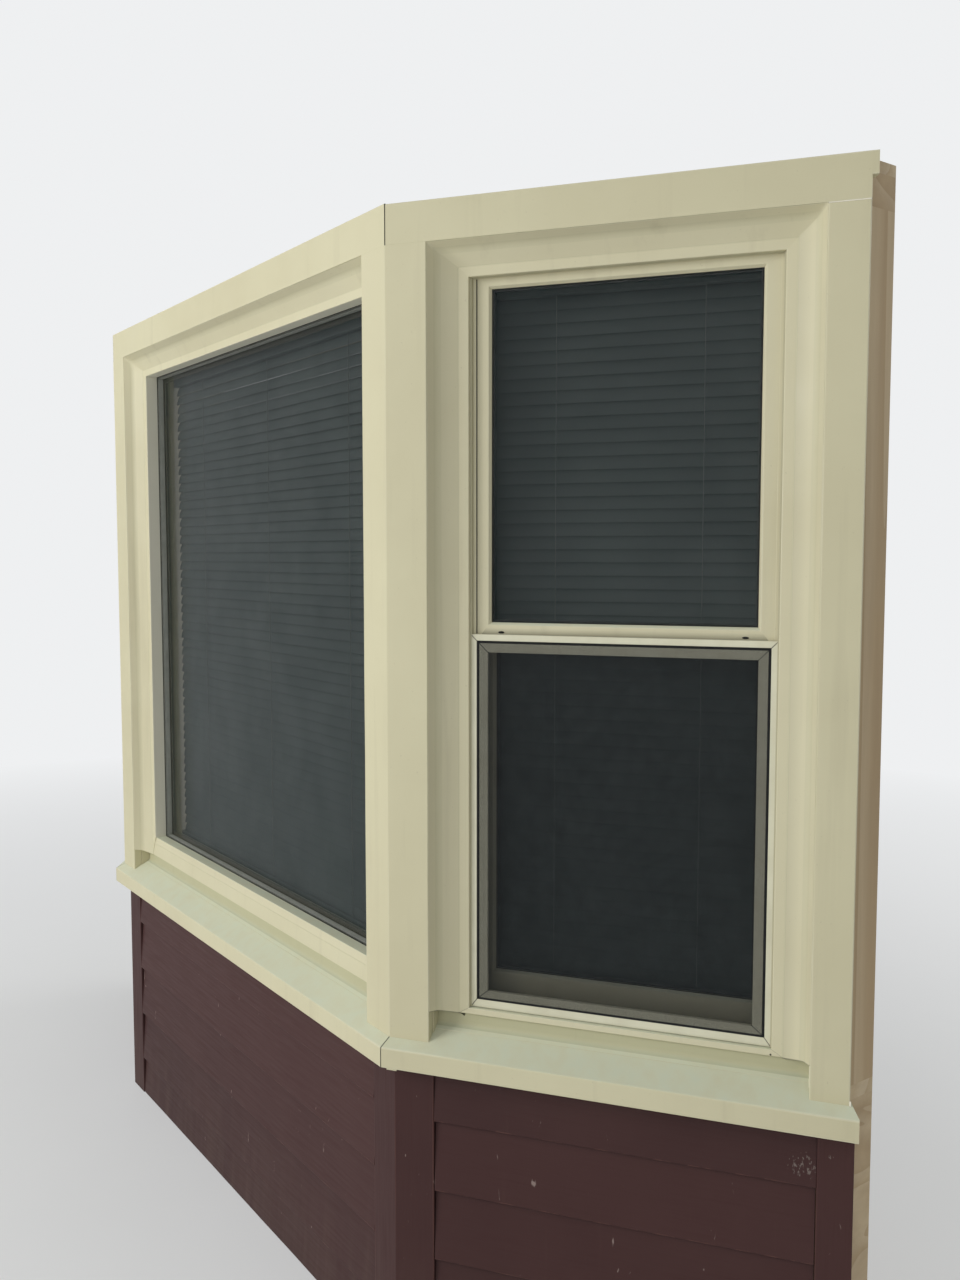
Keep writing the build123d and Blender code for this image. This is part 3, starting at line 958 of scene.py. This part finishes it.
def sills():
    """A nose with a sloping top along each face, mitred at the corners, and a wedge under the frames.

    The wedge carries the slope on between the casings. A short folded tab shows under the side noses beside
    the corners.
    """
    nose = rounded(
        [
            (-nose_out, sill_z),
            (-nose_out, sill_z + nose_height),
            (sill_lap, sill_z + slope_height(sill_lap)),
            (sill_lap, sill_z),
        ],
        nose_radii,
    )
    wedge_front = sill_lap - wedge_tuck
    wedge_top = sill_z + frame_foot - wedge_clearance
    wedge = rounded(
        [
            (sill_lap, sill_z + seat_top),
            (wedge_front, sill_z + slope_height(wedge_front)),
            (riser_depth, sill_z + slope_height(riser_depth)),
            (riser_depth, wedge_top),
            (slope_end - riser_gap, wedge_top),
            (slope_end, sill_z + sill_rise),
            (wall_thickness, sill_z + sill_rise),
            (wall_thickness, sill_z + seat_top),
        ],
        wedge_radii,
        steps=6,
    )
    # The riser's points count as an inward bend, so the sheet paints them in the green cove tone: painted
    # shade under the frame's lip
    shaded_riser = np.abs(wedge[0][:, 0] - riser_depth) < tolerance / 2
    wedge[1][shaded_riser] = -1
    depth = nose[0][:, 0]
    start = depth * mitre + sill_seam / 2
    ends = (soiled_end, soiled_end)
    parts = [carry(nose, start, front_width - start, dent=sill_dent, seed=21, joint=ends)]
    parts += riser_parts(wedge, corner_casing_front, front_width - corner_casing_front)
    make_piece("sill_front_sheet", front_face, parts, trim_sheet, ["sill_front"])
    end = back_end(side_width + sill_end_overhang, depth)
    tab_front = -nose_out + tab_setback
    tab_limits = (tab_front, tab_front + tab_thickness, sill_z - tab_drop, sill_z + tab_root)
    tab = box_outline(*tab_limits, crisp_radius)
    parts = [carry(nose, start, end, dent=sill_dent, seed=22, joint=(soiled_end, 0))]
    parts += riser_parts(wedge, corner_casing_side, end_casing_start)
    parts.append(carry(tab, tab_start, tab_end, step=tab_step))
    for name, _, beside in sides:
        make_piece("sill_" + name + "_sheet", beside, parts, trim_sheet, ["sill_" + name])


# Casings
def corner_plan(front_leg, side_leg, outer, inner, radius):
    """An angle that wraps the right corner, in the front face's frame.

    A point of the right face lies at (width + along cos - depth sin, along sin + depth cos).
    """
    def on_side(along, depth):
        return (front_width + along * cos_side - depth * sin_side, along * sin_side + depth * cos_side)
    corners = [
        (front_width - front_leg, outer),
        (front_width - outer * mitre, outer),
        on_side(side_leg, outer),
        on_side(side_leg, inner),
        (front_width - inner * mitre, inner),
        (front_width - front_leg, inner),
    ]
    return rounded(corners, radius)


def casings():
    """Angles round the corners and flat bars at the side faces' outer ends.

    The bars and the right angle have feet cut to the sill's slope. The left angle's foot is level and ends
    inside the sill. A line of filler shows over each bar, and a dab of it at the bar's foot.
    """
    angle = corner_plan(corner_casing_front, corner_casing_side, 0, casing_thickness, fold_radius)
    along, depth = angle[0].T
    side_depth = (front_width - along) * sin_side + depth * cos_side
    angle_foot = sill_z + slope_height(np.minimum(depth, side_depth))
    bar = box_outline(end_casing_start, side_width, 0, casing_thickness, fold_radius)
    bar_foot = sill_z + slope_height(bar[0][:, 1])
    end = carry(bar, bar_foot, head_z - caulk_size, upright=True, dent=trim_dent, seed=32)
    line = box_outline(-caulk_proud, caulk_size, head_z - caulk_size, head_z, caulk_radius)
    line_limits = (end_casing_start + caulk_inset, side_width - caulk_inset)
    line = carry(line, *line_limits, step=caulk_step, dent=caulk_dent, seed=35)
    front_foot = sill_z + slope_height(0.0)
    dab_heights = (front_foot - caulk_inset, front_foot + dab_height)
    dab = box_outline(-caulk_size, caulk_size, *dab_heights, dab_radius)
    dab_limits = (side_width - dab_start, side_width + caulk_size)
    dab = carry(dab, *dab_limits, step=dab_step, dent=dab_dent, seed=36)
    for name, ahead, beside in sides:
        node = "corner_casing_" + name
        foot = angle_foot if name == "right" else front_foot
        corner = carry(angle, foot, head_z, upright=True, dent=trim_dent, seed=31)
        make_piece(node + "_sheet", ahead, [corner], trim_sheet, [node])
        node = "end_casing_" + name
        make_piece(node + "_sheet", beside, [end], trim_sheet, [node])
        make_piece("caulk_line_" + name, beside, [line, dab], caulk)


# Window frames
def frame_profile(ribbed):
    """The frame's section as (inset, depth), which slopes back in a wide hollow to a flat lip.

    It turns in at the opening. A ribbed one also has a groove behind the lip and ribs between the tracks of
    the screen and the sashes.
    """
    corners = [
        (0, frame_lip),
        (hollow_inset, hollow_depth),
        (lip_inset, lip_depth),
        (opening_inset, lip_back),
    ]
    radii = [frame_lip_radius, hollow_radius, lip_radius, opening_radius]
    if ribbed:
        groove = opening_inset + rib_groove
        rib = opening_inset + rib_reach
        corners += [(opening_inset, screen_front - track_start), (groove, screen_front - track_start)]
        for depth in rib_depths:
            back = depth + rib_thickness
            corners += [(groove, depth), (rib, depth), (rib, back), (groove, back)]
        radii += [rib_radius] * (len(corners) - len(radii))
        corners.append((groove, wall_thickness))
    else:
        corners.append((opening_inset, wall_thickness))
    corners.append((0, wall_thickness))
    radii += [frame_back_radius, frame_back_radius]
    return rounded(corners, radii, steps=6)


def frame_tones(inset, depth, ribbed):
    """Tones of the inner and the outer jamb.

    The tracks of a ribbed frame are darker, from dirt and painted shade, and the outer jamb's hollow is
    darkened with painted shade, more and more from the casing to the lip. Behind the lip of a plain frame
    all is painted paler, as painted light.
    """
    if not ribbed:
        painted_light_zone = (inset > opening_inset - tolerance / 10) & (depth > lip_back + tolerance)
        tone = np.where(painted_light_zone, 1.0, plain_tone)
        return tone, tone
    track = (depth > screen_front - tolerance) & (depth < wall_thickness - tolerance)
    track &= inset <= opening_inset + rib_groove + tolerance
    tone = np.where(track, track_dirt_and_shade_tone, plain_tone)
    band = (inset > hollow_inset) & (inset < lip_inset) & (depth < lip_depth)
    band_shade_ramp = np.interp(inset, (hollow_inset, lip_inset), (plain_tone, band_shade_tone))
    return tone, np.where(band, band_shade_ramp, tone)


def corner_fill(first, second):
    """How far the crease between two bands of the hollow, at depths a and b, is filled toward the front.

    This is a smooth minimum: k / 4 (1 - |a - b| / k) squared, with k less beside the casing and at the lip.
    """
    least = np.minimum(first, second)
    reach = fill_reach * np.clip((lip_depth - least) / fill_fade, 0, 1)
    reach = np.maximum(np.minimum(reach, fill_slope * least), 1e-6)
    return reach / 4 * np.clip(1 - np.abs(first - second) / reach, 0, 1) ** 2


def window_frame(left, right, foot_points, opening_bottom, ribbed):
    """Jambs, head and foot of a moulded frame.

    Over the opening the insets shrink to the head's, and the hollow's creases are filled. The front bands
    of the jambs end over the sill's riser, a little higher toward the casings.
    """
    ring, bend = frame_profile(ribbed)
    inset, depth = ring.T
    tone, outer_tone_with_shade = frame_tones(inset, depth, ribbed)
    over = np.maximum(inset - opening_inset, 0) * rib_share_over_opening
    tops = np.interp(inset, jamb_insets, head_insets) + over
    roof = head_z - tops
    rising_foot = frame_foot + riser_end_rise * (1 - np.minimum(inset / lip_inset, 1))
    lip_foot = np.interp(inset, (lip_inset, opening_inset), (frame_foot, opening_bottom))
    foot_height = np.where(inset < lip_inset, rising_foot, lip_foot)
    low = sill_z + np.where(depth < slope_end, foot_height, sill_rise)
    kind = {"step": frame_step, "extra_rows": fill_rows}
    jamb_kind = {"upright": True, "joint": (foot_soil if ribbed else 0, 0), **kind}
    head = (np.stack([depth, roof], axis=1), bend)
    parts = [
        carry((np.stack([left + inset, depth], axis=1), bend), low, roof, tone=tone, **jamb_kind),
        carry((np.stack([right - inset, depth], axis=1), bend), low, roof, tone=outer_tone_with_shade, **jamb_kind),
        carry(head, left + inset, right - inset, tone=tone, **kind),
    ]
    front = (depth < lip_depth) & (inset < lip_inset)
    order = np.argsort(inset[front])
    depths = depth[front][order]
    for part in parts[:2]:
        across = np.interp(head_z - part["grid"][..., 2], tops[front][order], depths)
        part["grid"][..., 1] -= np.where(front, corner_fill(depth, across), 0)
    along = parts[2]["grid"][..., 0]
    across = np.interp(np.minimum(along - left, right - along), inset[front][order], depths)
    parts[2]["grid"][..., 1] -= np.where(front, corner_fill(depth, across), 0)
    foot = rounded([(foot_depth, sill_z + height) for foot_depth, height in foot_points], foot_radius)
    foot_depth, foot_z = foot[0].T
    foot_inset = np.interp(foot_z - sill_z, (frame_foot, opening_bottom), (lip_inset, opening_inset))
    foot_inset = np.where(foot_depth > slope_end - tolerance, opening_inset, foot_inset)
    parts.append(carry(foot, left + foot_inset, right - foot_inset, step=frame_step))
    return parts


def frames():
    """One moulded frame for each face: the front one has the broader foot and no ribs."""
    behind_riser = [(wall_thickness, sill_rise), (slope_end, sill_rise), (slope_end, frame_foot)]
    picture_points = [
        (lip_depth, frame_foot),
        (lip_depth + picture_foot_toe[0], frame_foot + picture_foot_toe[1]),
        *picture_foot_bevel,
        (wall_thickness, picture_foot),
    ] + behind_riser
    side_points = [
        (lip_depth, frame_foot),
        (lip_depth + side_foot_toe[0], frame_foot + side_foot_toe[1]),
        (lip_back, side_foot),
        (wall_thickness, side_foot),
    ] + behind_riser
    front_limits = (corner_casing_front, front_width - corner_casing_front)
    parts = window_frame(*front_limits, picture_points, picture_foot, False)
    node = "picture_frame"
    make_piece(node + "_moulded", front_face, parts, frame_plastic, [node])
    parts = window_frame(corner_casing_side, end_casing_start, side_points, side_foot, True)
    for name, _, beside in sides:
        node = "side_frame_" + name
        make_piece(node + "_moulded", beside, parts, frame_plastic, [node])


# Panes
def pane(left, right, low, high, depth, thickness):
    """A slab of glass with ground edges."""
    section = box_outline(depth, depth + thickness, low, high, pane_edge_radius)
    return carry(section, left, right, step=pane_step)


def pane_edges(left, right, low, high, depth, thickness):
    """The gasket on the pane's face and the spacer between its sheets, both mitred rings."""
    between = (depth + sheet_thickness, depth + thickness - sheet_thickness)
    gasket = box_outline(0, gasket_width, depth - gasket_thickness, depth, crisp_radius)
    spacer = box_outline(gasket_width, spacer_width, *between, spacer_radius)
    limits = (left, right, low, high)
    return [mitred_ring(edge, *limits, seam=0, step=pane_ring_step) for edge in (gasket, spacer)]


def picture_window():
    """The fixed pane, its gasket, its spacer in a pale finish that paints light, and the bead that holds it,
    whose face toward the pane is painted dark as painted shade.
    """
    limits = (picture_left, picture_right, picture_low, top_of_opening)
    slab = pane(*limits, picture_pane_front, picture_pane_thickness)
    make_piece("picture_pane", front_face, [slab], glass, ["picture_glass"])
    gasket, spacer = pane_edges(*limits, picture_pane_front, picture_pane_thickness)
    make_piece("picture_gasket", front_face, gasket, spline_rubber)
    make_piece("picture_spacer", front_face, spacer, spacer_painted_light)
    low = picture_pane_front + picture_pane_thickness
    high = low + bead_thickness
    bead = rounded([(0, low), (bead_width, low), (bead_width - bead_slope, high), (0, high)], bead_radius)
    tone = np.where(bead[0][:, 1] < low + bead_thickness / 2, bead_front_shade, plain_tone)
    parts = mitred_ring(bead, *limits, step=pane_ring_step, tone=tone)
    node = "picture_bead"
    make_piece(node + "_moulded", front_face, parts, frame_plastic, [node])


# Sashes
def sash(front, low, high, bottom_rail, top_rail, face_tone, foot_tone):
    """A welded sash: a flat face, a bevel to the glass, and rails as high as given.

    The face has its own tone, darkened as painted shade on the lower sash, and the foot of the bottom rail
    another, darker towards the foot.
    """
    face_end = sash_stile - sash_bevel
    back = front + sash_thickness
    profile = rounded(
        [
            (sash_edge, front),
            (face_end, front),
            (sash_stile, front + pane_setback),
            (sash_stile, back),
            (sash_edge, back),
        ],
        sash_radii,
    )
    knots = (0, face_end, sash_stile)
    bottoms = (0, bottom_rail - sash_bevel, bottom_rail)
    tops = (0, top_rail - sash_bevel, top_rail)
    inset, depth = profile[0].T
    on_face = depth < front + pane_setback + tolerance
    tone = np.where(on_face, face_tone, plain_tone)
    limits = (side_left, side_right, low, high)
    parts = mitred_ring(profile, *limits, knots, bottoms, tops, step=bar_step, tone=tone)
    at_foot = on_face & (inset < sash_foot)
    parts[2]["tone"] = np.where(at_foot, foot_tone, parts[2]["tone"])
    return parts


def sashes():
    """Upper and lower sash of each side window, each with its pane, gasket and spacer."""
    meeting = sill_z + upper_pane_bottom
    upper_limits = (meeting - meeting_rail, top_of_opening)
    lower_limits = (side_low, meeting + meeting_lap)
    upper_rails = (meeting_rail, upper_top_rail)
    lower_rails = (lower_bottom_rail, lower_top_rail)
    kinds = (
        ("upper", upper_sash_front, *upper_limits, *upper_rails, plain_tone, upper_foot_tone),
        ("lower", lower_sash_front, *lower_limits, *lower_rails, lower_sash_shade, lower_sash_shade),
    )
    for name, _, beside in sides:
        for kind, front, low, high, bottom_rail, top_rail, face_tone, foot_tone in kinds:
            node = kind + "_sash_" + name
            parts = sash(front, low, high, bottom_rail, top_rail, face_tone, foot_tone)
            make_piece(node + "_welded", beside, parts, frame_plastic, [node])
            limits = (side_left + sash_stile, side_right - sash_stile, low + bottom_rail, high - top_rail)
            slab = pane(*limits, front + pane_setback, pane_thickness)
            make_piece(kind + "_pane_" + name, beside, [slab], glass, [kind + "_glass_" + name])
            gasket, spacer = pane_edges(*limits, front + pane_setback, pane_thickness)
            make_piece(node + "_gasket", beside, gasket, spline_rubber)
            make_piece(node + "_spacer", beside, spacer, spacer_metal)


# Screens
def thread(first, second, start, end, upright=False):
    """A straight thread: a square of the thread's size round a middle, carried from end to end."""
    half = thread_size / 2
    square = [
        (first - half, second - half),
        (first + half, second - half),
        (first + half, second + half),
        (first - half, second + half),
    ]
    return carry(outline(square), start, end, upright=upright, step=1.0)


def screens():
    """Half screens: mitred bars with a grooved face, the spline in the groove, and the cloth.

    The cloth is two sets of straight threads at an even pitch, from the spline over the bars' inner
    flanges, and the level ones lie half a thread further back.
    """
    high = sill_z + screen_top
    flange = screen_front + flange_drop
    groove = screen_front + spline_drop
    groove_end = screen_face + spline_width
    bar = rounded(
        [
            (screen_gap, screen_front),
            (screen_face, screen_front),
            (screen_face, groove),
            (groove_end, groove),
            (groove_end, flange),
            (screen_bar, flange),
            (screen_bar, screen_back),
            (screen_gap, screen_back),
        ],
        screen_radii,
    )
    cord_width = (screen_face + spline_gap, groove_end - spline_gap)
    cord = box_outline(*cord_width, groove - spline_rise, groove - spline_gap, spline_radius)
    knots = (0, screen_gap, screen_face, screen_bar)
    bottoms = (0, screen_foot_gap, screen_foot_face, screen_bar)
    limits = (side_left, side_right, side_low, high, knots, bottoms, knots)
    bars = mitred_ring(bar, *limits, seam=bar_seam, step=bar_step, joint=(bar_soil, bar_soil))
    splines = mitred_ring(cord, *limits, seam=0, step=bar_step)
    inner = groove_end - mesh_tuck
    x0 = side_left + inner
    x1 = side_right - inner
    z0 = side_low + inner
    z1 = high - inner
    front = flange - thread_size - mesh_gap
    back = front + thread_size / 2
    threads = [thread(x, front, z0, z1, upright=True) for x in np.arange(x0 + mesh_pitch, x1, mesh_pitch)]
    threads += [thread(back, z, x0, x1) for z in np.arange(z0 + mesh_pitch, z1, mesh_pitch)]
    for name, _, beside in sides:
        node = "screen_frame_" + name
        make_piece("screen_bars_" + name, beside, bars, screen_enamel, [node])
        make_piece("screen_spline_" + name, beside, splines, spline_rubber)
        node = "screen_cloth_" + name
        make_piece("screen_mesh_" + name, beside, threads, screen_thread, [node])


# Small parts of the side windows
def oval(along, depth, height, length, width):
    """A flat oval plug in the face, with narrow flat ends, dark as painted shade where a hole is.

    It is a level run whose half length at a height h off its middle is
    length / 2 sqrt(1 - (2 h / width) squared).
    """
    points = 9
    q = np.linspace(-1, 1, points) * 0.98
    rise = np.concatenate([q, q[::-1]]) * width / 2
    front = np.repeat([0.0, plug_thickness], points)
    reach = length / 2 * np.sqrt(1 - (2 * rise / width) ** 2)
    ring = np.stack([depth + front, height + rise], axis=1)
    return carry(outline(ring), along - reach, along + reach, step=1.0)


def small_parts():
    """A dark strip beside the upper sash's inner stile, a real pile strip that also paints the shadow line
    there, and dark plugs as painted shade in the drain slots over the screen and in a screw hole at the
    foot.
    """
    screen_head = sill_z + screen_top
    edge = corner_casing_side + opening_inset + rib_reach
    # A real pile strip, made dark to paint the shadow line between rib and sash
    strip = box_outline(edge, edge + strip_width, rib_depths[0] + strip_gap, upper_sash_front, strip_radius)
    strip = carry(strip, screen_head, top_of_opening - strip_head, upright=True)
    # Dark plugs: painted shade where the drain slots and the screw hole are
    slot_depth = upper_sash_front - slot_proud
    slots = [
        oval(along, slot_depth, screen_head + slot_rise, slot_length, slot_width)
        for along in (side_left + slot_inset, side_right - slot_inset)
    ]
    screw_depth = lip_depth - screw_proud
    screw_height = sill_z + frame_foot + screw_rise
    slots.append(oval(side_right - screw_inset, screw_depth, screw_height, screw_size, screw_size))
    for name, _, beside in sides:
        make_piece("weather_strips_" + name, beside, [strip], spline_rubber)
        make_piece("drain_slot_shades_" + name, beside, slots, spline_rubber)


# Blinds
def slat_outline(height):
    """A thin crowned slat, turned nearly shut.

    It is an arc of two skins, (w, crown (1 - (2w / width) squared)), rotated by the tilt about its middle.
    """
    w = np.linspace(-slat_width / 2, slat_width / 2, 7)
    crown = slat_crown * (1 - (2 * w / slat_width) ** 2)
    upper = np.stack([w, crown + slat_thickness / 2], axis=1)
    lower = np.stack([w, crown - slat_thickness / 2], axis=1)[::-1]
    flat = np.concatenate([upper, lower])
    cos_tilt = math.cos(slat_tilt)
    sin_tilt = math.sin(slat_tilt)
    turn = np.array([[cos_tilt, -sin_tilt], [sin_tilt, cos_tilt]])
    return outline(flat @ turn.T + [blind_depth, height])


def blind(left, right, low, high):
    """Head rail, slats, foot rail and ladder cords."""
    x0 = left + blind_side_gap
    x1 = right - blind_side_gap
    half_rail = blind_rail_depth / 2
    half_foot = slat_width / 2
    foot_top = low + blind_foot_height
    rail_low = high - blind_rail_height
    rail_high = high - blind_head_gap
    rail = (blind_depth - half_rail, blind_depth + half_rail, rail_low, rail_high, blind_rail_radius)
    foot = (blind_depth - half_foot, blind_depth + half_foot, low, foot_top, blind_foot_radius)
    parts = [carry(box_outline(*bar), x0, x1, step=blind_step) for bar in (rail, foot)]
    run = rail_low - foot_top
    count = int(run / slat_pitch)
    random = np.random.default_rng(5)
    for k in range(count):
        shift = random.uniform(-slat_shift, slat_shift)
        slat = slat_outline(foot_top + (k + 0.5) * run / count)
        parts.append(carry(slat, x0 + shift, x1 + shift, step=blind_step, sag=slat_sag, seed=100 + k))
    cords = max(2, int((x1 - x0) / cord_spacing) + 1)
    inset = (x1 - x0) / cords / 2
    half = cord_size / 2
    strings = []
    for x in np.linspace(x0 + inset, x1 - inset, cords):
        for depth in (blind_depth - cord_offset, blind_depth + cord_offset):
            string = box_outline(x - half, x + half, depth - half, depth + half, cord_radius)
            string_limits = (low + blind_foot_height / 2, high - blind_rail_height / 2)
            strings.append(carry(string, *string_limits, upright=True))
    return parts, strings


def blinds():
    """A blind behind each window."""
    rows = [("front", front_face, (picture_left, picture_right, picture_low, top_of_opening))]
    rows += [(name, beside, (side_left, side_right, side_low, top_of_opening)) for name, _, beside in sides]
    for name, place, limits in rows:
        node = "blind_" + name
        slats, strings = blind(*limits)
        make_piece(node + "_slats", place, slats, slat_enamel_shaded, [node])
        make_piece(node + "_cords", place, strings, cord_fibre)


# Siding
def lap_boards(start, end, gap, seed):
    """Tapered boards that lap from the top down, each with a round lower edge and a slight wave."""
    random = np.random.default_rng(seed)
    boards = []
    taper = (lap_back - lap_front) / lap_exposure
    behind = lap_back + (board_back - lap_back) * lap_thick_share
    butts = np.arange(sill_z - lap_first, -lap_exposure, -lap_exposure)
    for number, butt in enumerate(butts):
        low = max(butt, 0.0)
        high = min(butt + lap_exposure + lap_overlap, sill_z)
        corners = [
            (lap_front + taper * (low - butt), low),
            (lap_back, low),
            (behind, low + lap_thick_height),
            (behind, high),
            (lap_front + taper * (high - butt), high),
        ]
        ends = random.uniform(least_gap_share, 1.0, 2) * gap
        boards.append(carry(
            rounded(corners, lap_radii),
            start + ends[0],
            end - ends[1],
            step=lap_step,
            dent=lap_wave,
            sag=0.0 if number == len(butts) - 1 else lap_sag,
            seed=seed + 7 * number,
            tone=random.uniform(0, 1),
        ))
    return boards


def siding():
    """Lap boards on the three faces, angle boards on the corners and flat boards at the outer ends."""
    parts = lap_boards(corner_board_width, front_width - corner_board_width, front_board_gap, 40)
    make_piece("siding_front_boards", front_face, parts, lap_paint, ["siding_front"])
    end_board_end = side_width + end_board_past
    end_board_start = end_board_end - end_board_width
    width = corner_board_width
    angle = corner_plan(width, width, board_front, board_back, corner_board_radius)
    angle = carry(angle, 0.0, sill_z, upright=True, dent=board_dent, seed=33, tone=corner_board_tone)
    ring, bend = box_outline(end_board_start, end_board_end, board_front, board_back, end_board_radius)
    flat = (np.stack([back_end(ring[:, 0], ring[:, 1]), ring[:, 1]], axis=1), bend)
    flat = carry(flat, 0.0, sill_z, upright=True, dent=board_dent, seed=34, tone=end_board_tone)
    for name, ahead, beside in sides:
        seed = 60 if name == "right" else 80
        parts = lap_boards(corner_board_width, end_board_start, side_board_gap, seed)
        rows = (
            ("siding_", "_boards", beside, parts),
            ("corner_board_", "_angle", ahead, [angle]),
            ("wall_board_", "_flat", beside, [flat]),
        )
        for first, last, place, shells in rows:
            node = first + name
            make_piece(node + last, place, shells, lap_paint, [node])


# Structure that stays as the frame has it
def structure():
    """Bare wood on the walls, posts, headers, seat and top, with the grain along each piece."""
    pale = (208, 188, 154)
    deep = (188, 164, 128)
    along_grain = 0.06
    upright = bare_wood("softwood_upright", (1, 1, along_grain), 0, pale, deep)
    turns = (("front", 0), ("right", -side_angle), ("left", side_angle))
    level = {
        name: bare_wood("softwood_" + name, (along_grain, 1, 1), turn, pale, deep)
        for name, turn in turns
    }
    ply = bare_wood("plywood", (0.10, 1, 1), 0, (214, 196, 164), (198, 176, 140))
    finishes = [("seat_board", ply), ("top_board", ply)]
    for name, wood in level.items():
        finishes += [("knee_wall_" + name, wood), ("header_" + name, wood)]
    for name, _, _ in sides:
        finishes += [("corner_post_" + name, upright), ("wall_post_" + name, upright)]
    for node, material in finishes:
        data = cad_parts[node].data
        data.materials.clear()
        data.materials.append(material)


# Floor, light and camera
def seen(tree):
    """1 for what the camera sees, straight, mirrored or through glass, and 0 for light on a surface."""
    rays = add(tree, "LightPath").outputs
    direct = math_node(tree, "MAXIMUM", rays["Is Camera Ray"], rays["Is Glossy Ray"])
    return math_node(tree, "MAXIMUM", direct, rays["Is Transmission Ray"])


def blend(tree, factor, first, second, output):
    """Mixes two shaders on the surface of an output."""
    mixed = add(tree, "MixShader", {0: factor, 1: first.outputs[0], 2: second.outputs[0]})
    tree.links.new(mixed.outputs[0], tree.nodes[output].inputs["Surface"])


def pale_floor():
    """A round floor that fades into the pale surroundings: rings of corners at (r cos a, r sin a)."""
    radius = np.array(floor_radii)[:, None]
    angle = np.linspace(0, 2 * math.pi, floor_sides, endpoint=False)
    ring = np.stack([radius * np.cos(angle), radius * np.sin(angle), 0 * radius * angle], axis=-1)
    faces = closed_grid(len(floor_radii), floor_sides)[2][:, ::-1]
    mesh = bpy.data.meshes.new("floor")
    mesh.from_pydata(ring.reshape(-1, 3), [], faces.tolist())
    floor = new_object("floor", mesh)
    material, tree, shader = new_material("floor_paint", Roughness=0.9)
    place = object_place(tree)
    tone = mix(tree, noise(tree, place, 1.5, 3.0), *floor_colours)
    tree.links.new(tone, shader.inputs["Base Color"])
    distance = add(tree, "VectorMath", {0: place}, operation="LENGTH").outputs["Value"]
    fade = times(tree, seen(tree), spread(tree, distance, 1.6, 6.5, 0.30, 1.0))
    glow = add(tree, "Emission", {"Color": surroundings, "Strength": 1.0})
    blend(tree, fade, shader, glow, "Material Output")
    mesh.materials.append(material)


def even_light():
    """A soft light from all round, in front of surroundings that look paler to the camera."""
    world = bpy.data.worlds.new("studio")
    bpy.context.scene.world = world
    world.use_nodes = True
    tree = world.node_tree
    ambient = tree.nodes["Background"]
    ambient.inputs["Color"].default_value = ambient_colour
    ambient.inputs["Strength"].default_value = ambient_strength
    shown = add(tree, "Background", {"Color": surroundings, "Strength": 1.0})
    blend(tree, seen(tree), ambient, shown, "World Output")


def lamp(name, place, aim, size, power):
    """A square soft lamp, turned so that it shines at a point."""
    data = bpy.data.lights.new(name, "AREA")
    data.size = size
    data.energy = power
    item = new_object(name, data)
    item.location = aim
    direction = item.location.copy()
    item.location = place
    direction -= item.location
    item.rotation_euler = direction.to_track_quat("-Z", "Y").to_euler()


def studio():
    """Key from the front left, fill from the camera's side, and a soft lamp behind the bay."""
    lamp("key", (-0.9, -5.2, 3.2), (0.2, 0.0, 1.1), 2.4, 154)
    lamp("fill", (3.4, -4.4, 2.2), (0.6, 0.0, 1.0), 2.6, 26)
    lamp("back", (0.8, 5.4, 3.4), (0.0, 0.2, 1.1), 3.0, 70)
    data = bpy.data.cameras.new("camera")
    data.sensor_fit = "VERTICAL"
    data.sensor_height = sensor_height
    data.lens = focal_pixels / picture_height * sensor_height
    camera = new_object("camera", data)
    camera.location = eye
    camera.rotation_euler = (math.pi / 2 + eye_pitch, 0, eye_azimuth)
    bpy.context.scene.camera = camera
    bpy.context.scene.view_settings.view_transform = "Standard"


head_trims()
sills()
casings()
frames()
picture_window()
sashes()
screens()
small_parts()
blinds()
siding()
structure()
pale_floor()
even_light()
studio()
